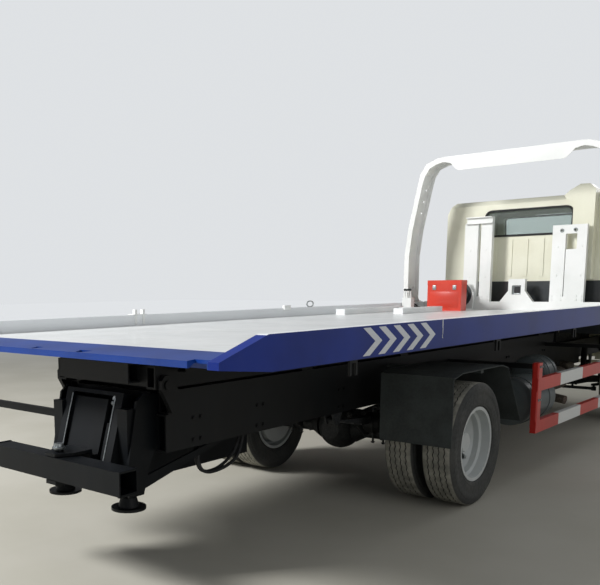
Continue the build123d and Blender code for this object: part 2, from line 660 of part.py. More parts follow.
def crossbar():
    """The square cross tube with open ends, turning on the boom's pin."""
    half = CROSSBAR_SIZE / 2
    tube = square_tube((-CROSSBAR_HALF, CROSSBAR_HALF),
                       (CROSSBAR_Y - half, CROSSBAR_Y + half),
                       (CROSSBAR_LOW, CROSSBAR_LOW + CROSSBAR_SIZE), CROSSBAR_WALL, "x")
    boss = Pos(0, CROSSBAR_Y, CROSSBAR_LOW + half) * Cylinder(CROSSBAR_PIN_RADIUS + 12,
                                                             CROSSBAR_SIZE)
    bore = Pos(0, CROSSBAR_Y, CROSSBAR_LOW + half) * Cylinder(
        CROSSBAR_PIN_RADIUS + BEARING_GAP, CROSSBAR_SIZE + 2)
    return tube + boss - bore


def support_feet():
    """The two support feet with their rods."""
    top = 860
    foot = bar((FOOT_X, FOOT_Y, FOOT_LOW), (FOOT_X, FOOT_Y, FOOT_LOW + 14), FOOT_RADIUS)
    foot += Pos(FOOT_X, FOOT_Y, FOOT_LOW + 14 + 25) * Cone(FOOT_STEM_RADIUS, 42, 50)
    foot += bar((FOOT_X, FOOT_Y, FOOT_LOW + 5), (FOOT_X, FOOT_Y, top), FOOT_ROD_RADIUS)
    return both_sides(foot)


# Tilting frame and its cylinders

def tilt_frame():
    """Rails, cross members, pivot pins, slide pads and the cylinder rods' lugs."""
    length = (TILT_FRONT_Y, TILT_REAR_Y)
    rails = both_sides(square_tube((TILT_IN, TILT_OUT), length, (TILT_LOW, TILT_HIGH),
                                   TILT_WALL, "y"))
    for y in (-2010, -1100, -300, 1100, 1900, 2700, 3450):
        rails += square_tube((-TILT_IN, TILT_IN), (y - 40, y + 40),
                             (TILT_LOW + 15, TILT_HIGH - 10), 8, "x")
    rails += box((-TILT_IN, TILT_IN), (TILT_REAR_Y - 40, TILT_REAR_Y), (TILT_LOW + 10, TILT_HIGH))
    rails += square_tube((-280, 280), (TILT_REAR_Y, TILT_REAR_Y + 80), (1030, 1135), 10, "x")
    pad_top = RAIL_BOTTOM - SLIDE_PAD_GAP
    rails += both_sides(box((TILT_IN + 8, TILT_OUT - 8), (TILT_FRONT_Y, TILT_REAR_Y - 60),
                            (TILT_HIGH, pad_top)))
    guide = box((TILT_OUT, RUNNER_IN - 2), (-60, 60), (TILT_LOW + 40, TILT_HIGH - 5))
    keeper = box((TILT_OUT, RUNNER_OUT - 10), (-60, 60), (TILT_LOW + 40, RUNNER_LOW - 4))
    for y in (-1500, 0, 1500, 3000):
        rails += both_sides(Pos(0, y, 0) * (guide + keeper))
    pins = cross_bar((TILT_OUT - 20, BRACKET_OUT + 8), PIVOT_Y, PIVOT_Z, PIVOT_RADIUS)
    return rails + both_sides(pins) + rod_lugs()


def rod_lugs():
    """The lugs under a cross tube that hold the cylinder rods' eyes."""
    tube_low = ROD_EYE_Z + EYE_RADIUS + 10
    tube = box((-TILT_IN, TILT_IN), (ROD_EYE_Y - 35, ROD_EYE_Y + 35), (tube_low, TILT_HIGH - 4))
    outline = [(ROD_EYE_Y - 50, TILT_HIGH - 4), (ROD_EYE_Y + 50, TILT_HIGH - 4),
               (ROD_EYE_Y + 34, ROD_EYE_Z - 32), (ROD_EYE_Y - 34, ROD_EYE_Z - 32)]
    inner = CYLINDER_X - EYE_WIDTH / 2 - LUG_GAP
    outer = CYLINDER_X + EYE_WIDTH / 2 + LUG_GAP
    notch = box((inner, outer), (ROD_EYE_Y - 120, ROD_EYE_Y + 120), (0, TILT_HIGH - 12))
    lugs = side_plate(outline, (inner - LUG_WALL, inner))
    lugs += side_plate(outline, (outer, outer + LUG_WALL))
    stub = cross_bar((inner - LUG_WALL - 8, inner), ROD_EYE_Y, ROD_EYE_Z, EYE_PIN_RADIUS)
    stub += cross_bar((outer, outer + LUG_WALL + 8), ROD_EYE_Y, ROD_EYE_Z, EYE_PIN_RADIUS)
    return tube - both_sides(notch) + both_sides(lugs + stub)


def cylinder_plane():
    """Each cylinder's plane at rest: origin at the barrel's pin, z along the rod."""
    return Plane(origin=(CYLINDER_X, BARREL_PIN_Y, BARREL_PIN_Z), x_dir=(1, 0, 0),
                 z_dir=(0, ROD_EYE_Y - BARREL_PIN_Y, ROD_EYE_Z - BARREL_PIN_Z))


def tilt_barrels():
    """Both barrels, turning on the frame's pins."""
    eye = Rot(0, 90, 0) * Cylinder(EYE_RADIUS, EYE_WIDTH)
    tube = bar((0, 0, 85), (0, 0, BARREL_LENGTH), BARREL_RADIUS)
    tube += bar((0, 0, 28), (0, 0, 90), EYE_PIN_RADIUS + 1)
    gland = bar((0, 0, BARREL_LENGTH - 60), (0, 0, BARREL_LENGTH), BARREL_RADIUS + 5)
    bore = bar((0, 0, 105), (0, 0, BARREL_LENGTH + 5), ROD_RADIUS + 1)
    pin = Rot(0, 90, 0) * Cylinder(EYE_PIN_RADIUS + BEARING_GAP, EYE_WIDTH + 10)
    return both_sides(cylinder_plane() * (eye + tube + gland - bore - pin))


def tilt_rods():
    """Both rods with their eyes, at rest nearly all inside the barrels."""
    reach = hypot(ROD_EYE_Y - BARREL_PIN_Y, ROD_EYE_Z - BARREL_PIN_Z)
    rod = bar((0, 0, 120), (0, 0, reach - 28), ROD_RADIUS)
    eye = Pos(0, 0, reach) * Rot(0, 90, 0) * Cylinder(EYE_RADIUS, EYE_WIDTH)
    hole = Pos(0, 0, reach) * Rot(0, 90, 0) * Cylinder(EYE_PIN_RADIUS + BEARING_GAP,
                                                      EYE_WIDTH + 10)
    return both_sides(cylinder_plane() * (rod + eye - hole))


# Bed


def bed_deck():
    """The flat deck of five sheets, with shallow seams between them."""
    half = BED_HALF - RAIL_THICK
    deck = box((-half, half), (BED_FRONT_Y, TAIL_Y - TAIL_PLATE_LENGTH),
               (DECK_TOP - DECK_WALL, DECK_TOP))
    for y in DECK_SEAMS:
        deck -= box((-half, half), (y - 1.5, y + 1.5), (DECK_TOP - 1, DECK_TOP + 1))
    return deck


def bed_frame():
    """Cross members and runners under the deck, and the tie rings along its sides."""
    high = DECK_TOP - DECK_WALL
    half = BED_HALF - RAIL_THICK
    members = None
    count = int((TAIL_Y - TAIL_PLATE_LENGTH - 120 - BED_FRONT_Y - 60) // CROSSMEMBER_PITCH) + 1
    for i in range(count):
        y = BED_FRONT_Y + 60 + i * CROSSMEMBER_PITCH
        member = square_tube((-half, half), (y - CROSSMEMBER_WIDTH / 2, y + CROSSMEMBER_WIDTH / 2),
                             (RAIL_BOTTOM, high), CROSSMEMBER_WALL, "x")
        members = member if members is None else members + member
    runners = square_tube((RUNNER_IN, RUNNER_OUT), (BED_FRONT_Y, RUNNER_REAR_Y),
                          (RUNNER_LOW, RAIL_BOTTOM), 6, "y")
    members += both_sides(runners)
    for y in HOOK_PLACES:
        members += both_sides(tie_ring(y))
    return members


def tie_ring(y):
    """One n-shaped ring under a side rail, for a strap's hook."""
    ring = box((HOOK_X - 7, HOOK_X + 7), (y - 36, y + 36),
               (RAIL_BOTTOM - 84, RAIL_BOTTOM - SEAT_GAP))
    return ring - box((HOOK_X - 10, HOOK_X + 10), (y - 22, y + 22),
                      (RAIL_BOTTOM - 90, RAIL_BOTTOM - 18))


def bed_rails():
    """The two side rails, cut down to the tail."""
    outline = [(BED_FRONT_Y, RAIL_BOTTOM), (TAIL_Y - TAIL_RISE_LENGTH, RAIL_BOTTOM),
               (TAIL_Y, TAIL_LIP_LOW), (TAIL_Y, DECK_TOP - TAIL_DROP + 2),
               (TAIL_Y - TAIL_SLOPE_LENGTH, RAIL_TOP), (BED_FRONT_Y, RAIL_TOP)]
    return both_sides(side_plate(outline, (BED_HALF - RAIL_THICK, BED_HALF)))


def tail_plate():
    """The sloping plate at the tail with its lip, notches and slots."""
    front = TAIL_Y - TAIL_PLATE_LENGTH
    low = DECK_TOP - TAIL_DROP
    outline = [(front, DECK_TOP), (TAIL_Y, low), (TAIL_Y, TAIL_LIP_LOW),
               (TAIL_Y - 12, TAIL_LIP_LOW), (TAIL_Y - 40, low - 14), (front, DECK_TOP - 8)]
    plate = side_plate(outline, (-BED_HALF + RAIL_THICK, BED_HALF - RAIL_THICK))
    plate += box((-BED_HALF + RAIL_THICK, BED_HALF - RAIL_THICK), (front - 20, front + 40),
                 (RAIL_BOTTOM + 10, DECK_TOP - 7))
    for x in (-1030, 1030):
        plate -= box((x - 56, x + 56), (TAIL_Y - 50, TAIL_Y + 5), (1100, 1300))
    for x_low, x_high in ((-290, -200), (100, 160)):
        wedge = [(x_low, TAIL_Y - 65), (x_high, TAIL_Y - 65), (x_high - 25, TAIL_Y - 8),
                 (x_low + 25, TAIL_Y - 8)]
        plate -= plan_plate(wedge, (1000, 1300))
    return plate


def mirrored_outline(half):
    """A closed outline from its right half, listed from foot to crown."""
    return half + [(-x, z) for x, z in reversed(half)]


def hoop_channel():
    """The whole channel hoop across the bed, with its flanges and tie holes."""
    y = (HOOP_REAR_Y - HOOP_DEPTH, HOOP_REAR_Y)
    outer = mirrored_outline(HOOP_OUTER)
    ring = front_plate(outer, y)
    ring -= front_plate(inset_hoop(HOOP_WALL), y)
    rear = front_plate(outer, (y[1] - HOOP_WALL, y[1]))
    rear -= front_plate(mirrored_outline(HOOP_REAR_EDGE), (y[1] - HOOP_WALL, y[1]))
    front = front_plate(outer, (y[0], y[0] + HOOP_WALL))
    front -= front_plate(inset_hoop(50), (y[0], y[0] + HOOP_WALL))
    frame = ring + rear + front
    for z in HOOP_HOLES:
        at = LEG_LOW[0] + (z - LEG_LOW[1]) * (LEG_HIGH[0] - LEG_LOW[0]) / (LEG_HIGH[1] - LEG_LOW[1])
        square = Vector(LEG_HIGH[1] - LEG_LOW[1], 0, LEG_LOW[0] - LEG_HIGH[0]).normalized()
        middle = Vector(at, HOOP_REAR_Y - 210, z)
        hole = bar(middle - square * 30, middle + square * 30, HOOP_HOLE_RADIUS)
        frame -= both_sides(hole)
    foot = box((BED_HALF - 110, BED_HALF), y, (RAIL_TOP, RAIL_TOP + 10))
    return frame + both_sides(foot)


def between_splices(half):
    """The room over the deck between the hoop's two splices, out to a half width."""
    return box((-half, half), (HOOP_REAR_Y - HOOP_DEPTH - 10, HOOP_REAR_Y + 10),
               (DECK_TOP, HOOP_TOP + 10))


def hoop_legs():
    """The hoop's two legs with their bends, up to the splices at the crown."""
    return hoop_channel() - between_splices(HOOP_SPLICE_X)


def hoop_crown():
    """The hoop's level crown, seated between the two legs."""
    return hoop_channel() & between_splices(HOOP_SPLICE_X - SEAT_GAP)


def inset_hoop(depth):
    """The hoop's outline moved inward by a depth, its feet kept on the rails."""
    legs = HOOP_OUTER[:3]
    inner = [(x - depth, z - depth * 0.1 if z > 1848 else z) for x, z in legs]
    # Share of the depth by which each corner of the bend moves in and down
    shares = ((1, 0.25), (1, 0.3), (0.75, 0.7), (0.3, 0.95), (0, 1))
    for (x, z), (inward, down) in zip(HOOP_OUTER[3:], shares):
        inner.append((x - depth * inward, z - depth * down))
    return mirrored_outline(inner)


def head_posts():
    """The beam across the bed's front with the posts that stand on it."""
    half = BED_HALF - RAIL_THICK
    beam = square_tube((-half, half), (BED_FRONT_Y, BED_FRONT_Y + HEAD_BEAM_DEPTH),
                       (DECK_TOP, HEAD_BEAM_TOP), 6, "x")
    left = box((467, 620), POST_Y, (HEAD_BEAM_TOP, 2190))
    left += box((307, 433), POST_Y, (HEAD_BEAM_TOP, 2190))
    left += box((307, 600), POST_Y, (2190, 2268))
    left += box((433, 467), POST_Y, (HEAD_BEAM_TOP, HEAD_BEAM_TOP + 60))
    right = box((-683, -341), POST_Y, (HEAD_BEAM_TOP, 2127))
    right -= box((-588, -474), (POST_Y[0] - 5, POST_Y[1] + 5), (1874, 2035))
    right -= box((-483, -474), (POST_Y[0] - 5, POST_Y[1] + 5), (HEAD_BEAM_TOP + 60, 1880))
    for x, z in ((-435, 2069), (-569, 2072)):
        right -= bar((x, POST_Y[0] - 5, z), (x, POST_Y[1] + 5, z), 14)
    centre = front_plate([(-170, HEAD_BEAM_TOP), (190, HEAD_BEAM_TOP), (100, 1440), (100, 1570),
                          (-80, 1570), (-80, 1440)], POST_Y)
    centre -= box((-40, 60), (POST_Y[0] - 5, POST_Y[1] + 5), (1400, 1500))
    return beam + left + right + centre


def winch_frame():
    """The winch's end plates with motor and gearbox, and the valve bank beside it."""
    frame = None
    for y in ((WINCH_REAR_Y, WINCH_REAR_Y + 14), (WINCH_FRONT_Y - 14, WINCH_FRONT_Y)):
        outline = [(WINCH_X - 160, DECK_TOP), (WINCH_X + 160, DECK_TOP),
                   (WINCH_X + 160, WINCH_Z + 20), (WINCH_X + 80, WINCH_Z + 152),
                   (WINCH_X - 80, WINCH_Z + 152), (WINCH_X - 160, WINCH_Z + 20)]
        plate = front_plate(outline, y)
        plate -= bar((WINCH_X, y[0] - 5, WINCH_Z), (WINCH_X, y[1] + 5, WINCH_Z),
                     WINCH_SHAFT_RADIUS + BEARING_GAP)
        frame = plate if frame is None else frame + plate
    for x in (WINCH_X - 150, WINCH_X + 130):
        frame += box((x, x + 20), (WINCH_FRONT_Y, WINCH_REAR_Y), (DECK_TOP, DECK_TOP + 12))
    frame += bar((WINCH_X, WINCH_REAR_Y + 14, WINCH_Z), (WINCH_X, -1700, WINCH_Z), 95)
    frame += bar((WINCH_X, WINCH_FRONT_Y - 14, WINCH_Z), (WINCH_X, -2148, WINCH_Z), 62)
    valve_x = BED_HALF - RAIL_THICK - 125
    valve = box((valve_x, valve_x + 110), (-1650, -1570), (DECK_TOP, 1370))
    for i in range(4):
        lever_x = valve_x + 20 + 23 * i
        valve += bar((lever_x, -1610, 1365), (lever_x, -1590, 1450), 6)
    return frame + valve


def winch_drum():
    """The winch's drum with its two flanges."""
    y = (WINCH_FRONT_Y + 5, WINCH_REAR_Y - 5)
    drum = bar((WINCH_X, y[0], WINCH_Z), (WINCH_X, y[1], WINCH_Z), 100)
    for low, high in ((y[0], y[0] + 10), (y[1] - 10, y[1])):
        drum += bar((WINCH_X, low, WINCH_Z), (WINCH_X, high, WINCH_Z), DRUM_FLANGE_RADIUS)
    drum += bar((WINCH_X, WINCH_FRONT_Y - 13, WINCH_Z), (WINCH_X, WINCH_REAR_Y + 13, WINCH_Z),
                WINCH_SHAFT_RADIUS)
    return drum


def tool_box():
    """The upright red box on the deck behind the posts."""
    body = box(BOX_X, BOX_Y, (DECK_TOP, BOX_TOP - 50))
    lid = box((BOX_X[0] - 4, BOX_X[1] + 4), (BOX_Y[0] - 4, BOX_Y[1] + 4), (BOX_TOP - 50, BOX_TOP))
    lid = fillet(lid.edges().filter_by(Axis.Z), radius=8)
    return body + lid


def lift_forks():
    """Two spare lifting forks stowed on the deck along the left rail."""
    forks = None
    side = BED_HALF - RAIL_THICK
    for x, y_rear, y_front in ((side - 140, -50, -1250), (side - 530, -500, -1400)):
        arm = box((x - 50, x + 50), (y_front, y_rear), (DECK_TOP, DECK_TOP + 55))
        toe = box((x - 50, x + 230) if x < 700 else (x - 230, x + 50),
                  (y_front, y_front + 100), (DECK_TOP, DECK_TOP + 45))
        fork = arm + toe
        forks = fork if forks is None else forks + fork
    return forks


# Cab

def cab_section(inset):
    """The cab's cross-section seen from the front, moved inward by an inset."""
    half = [(CAB_HALF, FLOOR_LOW), (CAB_HALF, 1640), (960, CAB_TOP - 336), (930, CAB_TOP - 176),
            (878, CAB_TOP - 76), (826, CAB_TOP - 24), (745, CAB_TOP - 10), (0, CAB_TOP)]
    outline = half + [(-x, z) for x, z in reversed(half[:-1])]
    face = make_face(Polyline(*outline, close=True))
    return offset(face, amount=-inset, kind=Kind.INTERSECTION) if inset else face


def cab_side_view(inset):
    """The cab's outline seen from the side, moved inward by an inset."""
    outline = [(CAB_REAR_Y, FLOOR_LOW), (CAB_REAR_Y, CAB_TOP - 96),
               (CAB_REAR_Y - 60, CAB_TOP - 44), (-2900, CAB_TOP), (-3500, CAB_TOP),
               (-3740, CAB_TOP - 36), (-3800, CAB_TOP - 86), (-4130, BELT_Z),
               (CAB_FRONT_Y, 1300), (CAB_FRONT_Y, FLOOR_LOW)]
    face = make_face(Polyline(*outline, close=True))
    return offset(face, amount=-inset, kind=Kind.INTERSECTION) if inset else face


def cab_plan(inset):
    """The cab's outline seen from above: its rear corners are drawn in."""
    half = [(CAB_HALF, CAB_REAR_Y - 150), (CAB_HALF, -3900), (960, -4120), (860, CAB_FRONT_Y)]
    mirrored = [(-x, y) for x, y in reversed(half)]
    outline = [(930, CAB_REAR_Y)] + half + mirrored + [(-930, CAB_REAR_Y)]
    face = make_face(Polyline(*outline, close=True))
    return offset(face, amount=-inset, kind=Kind.INTERSECTION) if inset else face


def cab_solid(inset):
    """The cab's form as one solid, moved inward by an inset."""
    long = extrude(Plane.XZ.offset(2000) * cab_section(inset), amount=2600)
    wide = extrude(Plane.YZ.offset(-1100) * cab_side_view(inset), amount=2200)
    tall = extrude(Pos(0, 0, 900) * cab_plan(inset), amount=1700)
    return long & wide & tall


def door_cutter(sign, grow):
    """A prism through one side of the cab with the door's outline."""
    face = make_face(Polyline(*DOOR_OUTLINE, close=True))
    if grow:
        face = offset(face, amount=grow, kind=Kind.INTERSECTION)
    x = 650 if sign > 0 else -1100
    return extrude(Plane.YZ.offset(x) * face, amount=450)


def window_cutter(sign, grow):
    """A prism through one door with its window's outline."""
    face = make_face(Polyline(*DOOR_WINDOW, close=True))
    face = fillet(face.vertices(), radius=45)
    if grow:
        face = offset(face, amount=grow)
    x = 650 if sign > 0 else -1100
    return extrude(Plane.YZ.offset(x) * face, amount=450)


def rear_window(grow):
    """A prism through the rear wall with the window's outline."""
    face = Pos(0, ROOF_CUT - 188) * RectangleRounded(940 + 2 * grow, 282 + 2 * grow, 78)
    return extrude(Plane.XZ.offset(-CAB_REAR_Y - 20) * face, amount=140)


def windscreen(grow):
    """A prism through the cab's front with the windscreen's outline."""
    face = make_face(Polyline((-870, 1660), (870, 1660), (800, ROOF_CUT - 15),
                                (-800, ROOF_CUT - 15), close=True))
    face = fillet(face.vertices(), radius=60)
    if grow:
        face = offset(face, amount=grow)
    return extrude(Plane.XZ.offset(3600) * face, amount=700)


class CabShell:
    """The cab's shell and the pieces that it is split into."""

    def __init__(self):
        self.outer = cab_solid(0)
        self.skin_inner = cab_solid(SKIN)
        self.inner = cab_solid(CAB_WALL)
        shell = self.outer - self.inner
        shell -= rear_window(0)
        shell -= windscreen(0)
        tunnel = box((-TUNNEL_HALF, TUNNEL_HALF), (-4400, -2300), (900, FLOOR_LOW + CAB_WALL + 2))
        shell -= tunnel & box((-TUNNEL_HALF, TUNNEL_HALF), (CAB_FRONT_Y + CAB_WALL, REAR_CUT + 60),
                              (900, 1100))
        self.shell = shell

    def region(self, x, y, z):
        """The shell inside one block, without the doors."""
        piece = self.shell & box(x, y, z)
        return piece

    def door(self, sign):
        """One door: a full outer skin and a narrower inner body, window cut."""
        skin = (self.outer - self.skin_inner) & door_cutter(sign, 0)
        body = self.shell & door_cutter(sign, -DOOR_REBATE)
        leaf = skin + body - window_cutter(sign, 0)
        for z in DOOR_HINGES_Z:
            leaf = leaf - hinge_notch(sign, z) + hinge_pin(sign, z)
        return leaf

    def sides(self):
        """Pillars, sills and quarter panels with the door openings."""
        piece = self.region((-1200, 1200), (FRONT_CUT, REAR_CUT), (FLOOR_LOW + CAB_WALL, ROOF_CUT))
        piece -= box((-TUNNEL_HALF, TUNNEL_HALF), (-5000, 0), (900, 3000))
        for sign in (-1, 1):
            piece -= door_cutter(sign, DOOR_GAP)
            for z in DOOR_HINGES_Z:
                piece += hinge_tab(sign, z)
        return piece


def hinge_tab(sign, z):
    """One hinge's knuckle on the front pillar, bored for the door's pin."""
    knuckle = Pos(DOOR_HINGE_X, DOOR_HINGE_Y, z) * Cylinder(HINGE_RADIUS, HINGE_HEIGHT)
    knuckle += box((955, 974), (FRONT_CUT + 2, DOOR_HINGE_Y),
                   (z - HINGE_HEIGHT / 2, z + HINGE_HEIGHT / 2))
    knuckle -= Pos(DOOR_HINGE_X, DOOR_HINGE_Y, z) * Cylinder(HINGE_PIN_RADIUS + BEARING_GAP, 90)
    return knuckle if sign > 0 else flip(knuckle)


def hinge_notch(sign, z):
    """The corner that is cut from the door around one hinge's knuckle."""
    half = HINGE_HEIGHT / 2 + 4
    notch = box((950, 1040), (-4040, DOOR_HINGE_Y + 26), (z - half, z + half))
    return notch if sign > 0 else flip(notch)


def hinge_pin(sign, z):
    """The pin that the door brings to one hinge."""
    pin = Pos(DOOR_HINGE_X, DOOR_HINGE_Y, z) * Cylinder(HINGE_PIN_RADIUS, HINGE_HEIGHT + 24)
    return pin if sign > 0 else flip(pin)


def glass_layer(cutter, depth):
    """Glass that follows the cab's form inside one opening."""
    layer = cab_solid(depth) - cab_solid(depth + GLASS)
    return layer & cutter


def cab_nodes():
    """All the nodes that are cut from the cab's shell, by name."""
    cab = CabShell()
    wide = (-1200, 1200)
    floor = cab.region(wide, (FRONT_CUT, REAR_CUT), (900, FLOOR_LOW + CAB_WALL))
    floor += cab_tunnel() + cab_mounts()
    rear = cab.region(wide, (REAR_CUT, -2000), (900, ROOF_CUT)) + rear_ribs()
    rear -= box((-TUNNEL_HALF, TUNNEL_HALF), (-2500, -2000), (900, TUNNEL_TOP))
    roof = cab.region(wide, (-5000, -2000), (ROOF_CUT, 3000))
    front = cab.region(wide, (-5000, FRONT_CUT), (900, ROOF_CUT))
    front += front_apron()
    front -= grille_slots()
    sides = cab.sides() + cab_steps()
    nodes = {"cab_floor": floor, "cab_rear_wall": rear, "cab_roof": roof,
             "cab_front": front, "cab_sides": sides,
             "cab_glass": glass_layer(windscreen(-SEAT_GAP), GLASS_INSET)
             + glass_layer(rear_window(-SEAT_GAP), GLASS_INSET)}
    for name, sign in (("left", 1), ("right", -1)):
        nodes["door_" + name] = cab.door(sign) + door_handle(sign)
        nodes["door_glass_" + name] = glass_layer(window_cutter(sign, -SEAT_GAP), 20)
    return nodes


def cab_tunnel():
    """The raised tunnel over the engine, open below and behind."""
    y = (CAB_FRONT_Y + CAB_WALL, REAR_CUT)
    wall = 20
    outer = box((-TUNNEL_HALF, TUNNEL_HALF), y, (FLOOR_LOW, TUNNEL_TOP))
    inner = box((-TUNNEL_HALF + wall, TUNNEL_HALF - wall), (y[0] - 5, y[1] + 5),
                (FLOOR_LOW - 5, TUNNEL_TOP - wall))
    return outer - inner


def cab_mounts():
    """The cab's hinge arms at the front, around the frame's pins."""
    x = (RAIL_OUT + 20, RAIL_OUT + 50)
    outline = [(CAB_PIVOT_Y - 28, CAB_PIVOT_Z - 20), (CAB_PIVOT_Y + 28, CAB_PIVOT_Z - 20),
               (CAB_PIVOT_Y + 160, FLOOR_LOW), (CAB_PIVOT_Y + 70, FLOOR_LOW)]
    arm = side_plate(outline, x)
    arm -= cross_bar((x[0] - 5, x[1] + 5), CAB_PIVOT_Y, CAB_PIVOT_Z, 14 + BEARING_GAP)
    return both_sides(arm)


def rear_ribs():
    """The pressed ribs below the rear window."""
    ribs = None
    for i in range(5):
        x = -344 + 172 * i
        rib = box((x - 22, x + 22), (CAB_REAR_Y, CAB_REAR_Y + 8), (1600, 2010))
        ribs = rib if ribs is None else ribs + rib
    return ribs


def front_apron():
    """The panel below the cab's front, down to the bumper."""
    outline = [(-860, CAB_FRONT_Y), (860, CAB_FRONT_Y), (955, -4130), (955, -4090),
               (850, -4165), (-850, -4165), (-955, -4090), (-955, -4130)]
    return plan_plate(outline, (725, FLOOR_LOW + 20))


def grille_slots():
    """The slots of the grille in the cab's front."""
    slots = None
    for i in range(6):
        z = 1010 + 55 * i
        slot = box((-560, 560), (-4300, -4100), (z, z + 30))
        slots = slot if slots is None else slots + slot
    return slots


def cab_steps():
    """The step wells in front of the wheels, below the doors' front ends."""
    y = (-4065, -3600)
    arch = Pos(0, FRONT_AXLE_Y, TYRE_RADIUS) * Rot(0, 90, 0) * Cylinder(560, 3000)
    well = box((720, 985), y, (520, FLOOR_LOW - 1)) - box((760, 1010), (y[0] + 40, y[1] - 40),
                                                         (560, 740))
    well -= box((760, 1010), (y[0] + 40, y[1] - 40), (780, 940))
    skirt = box((940, 985), (-3640, REAR_CUT), (FLOOR_LOW - 120, FLOOR_LOW - 1))
    lower = (well + skirt) - arch
    link = box((720, 985), (y[0], REAR_CUT), (FLOOR_LOW - 1, FLOOR_LOW)) - arch
    return both_sides(lower + link)


def door_handle(sign):
    """A door's pull handle on its outer skin."""
    x = (CAB_HALF, CAB_HALF + 22) if sign > 0 else (-CAB_HALF - 22, -CAB_HALF)
    grip = box(x, (-3230, -3090), (1480, 1512))
    inner = (x[0], x[1] - 10) if sign > 0 else (x[0] + 10, x[1])
    return grip - box(inner, (-3210, -3110), (1400, 1600))


def seats():
    """The driver's seat and the double passenger seat on their pedestals."""
    floor = FLOOR_LOW + CAB_WALL + SEAT_GAP
    seat = None
    for x_low, x_high in ((420, 890), (-890, -420)):
        pedestal = box((x_low + 60, x_high - 60), (-3060, -2680), (floor, 1330))
        cushion = box((x_low, x_high), (-3190, -2640), (1330, 1450))
        back = Pos((x_low + x_high) / 2, -2630, 1400) * Rot(-10, 0, 0) * Box(
            x_high - x_low, 110, 560, align=(Align.CENTER, Align.CENTER, Align.MIN))
        one = pedestal + fillet(cushion.edges(), radius=30) + fillet(back.edges(), radius=30)
        seat = one if seat is None else seat + one
    middle = box((-390, 390), (-3120, -2640), (TUNNEL_TOP + SEAT_GAP, 1440))
    middle = fillet(middle.edges(), radius=30)
    middle += fillet((Pos(0, -2630, 1380) * Rot(-10, 0, 0) * Box(
        700, 90, 420, align=(Align.CENTER, Align.CENTER, Align.MIN))).edges(), radius=30)
    return seat + middle


def dashboard():
    """The dash panel across the cab, with the hood over the dials and the column."""
    low = TUNNEL_TOP + SEAT_GAP
    outline = [(-4080, low), (-3760, low), (-3720, 1400), (-3760, 1560), (-3900, 1610),
               (-4080, 1600)]
    dash = side_plate(outline, (-930, 930))
    hood = [(-4000, 1600), (-3780, 1555), (-3760, 1640), (-3900, 1680), (-4000, 1670)]
    dash += side_plate(hood, (390, 810))
    column = steering_plane() * bar((0, 0, -190), (0, 0, -13.3), 30)
    return (dash & cab_solid(CAB_WALL + 2)) + column


def steering_plane():
    """The steering wheel's plane: z along its shaft, towards the driver."""
    rake = radians(WHEEL_RAKE)
    return Plane(origin=WHEEL_PLACE, x_dir=(1, 0, 0), z_dir=(0, sin(rake), cos(rake)))


def steering_wheel():
    """The steering wheel: rim, two spokes and hub."""
    rim = Torus(210, 15)
    hub = Cylinder(55, 22) + Pos(0, 0, -6) * Box(400, 40, 14)
    return steering_plane() * (rim + hub)


def intake_duct():
    """The air intake that stands at the cab's right rear corner."""
    outline = [(-712, 1560), (-712, 2490), (-650, 2545), (-560, 2547), (-458, 2489),
               (-405, 2440), (-430, 2400), (-500, 2360), (-510, 1560)]
    duct = front_plate(outline, (CAB_REAR_Y - 60, CAB_REAR_Y + 110))
    return duct - cab_solid(-SEAT_GAP)


def mirrors():
    """The door mirrors on arms at the cab's front corners."""
    arm = bar((960, -4060, 1700), (1130, -4120, 1760), 11)
    arm += bar((955, -4040, 2200), (1130, -4120, 2120), 11)
    stem = bar((1130, -4120, 1700), (1130, -4120, 2160), 12)
    head = box((1050, 1240), (-4105, -4050), (1740, 2100))
    head = fillet(head.edges().filter_by(Axis.Y), radius=35)
    piece = arm + stem + head - cab_solid(-SEAT_GAP)
    return both_sides(piece)


# Wheels

def tyre(x):
    """One tyre around the line across the truck, centred on x."""
    w = TYRE_WIDTH / 2
    r = TYRE_RADIUS
    s = TYRE_SHOULDER
    profile = [(-w + 22.3, BEAD_RADIUS), (-w + 22.3, 260), (-w + 12, 264), (-w, 335),
               (-w + 5, r - 42),
               (-w + s, r - 10), (-w + s + 14, r), (w - s - 14, r), (w - s, r - 10),
               (w - 5, r - 42), (w, 335), (w - 12, 264), (w - 22.3, 260), (w - 22.3, BEAD_RADIUS),
               (w - 30, BEAD_RADIUS), (w - 24, 330), (w - 30, r - 30), (-w + 30, r - 30),
               (-w + 24, 330), (-w + 30, BEAD_RADIUS)]
    return turned(profile, x, 0, 0)


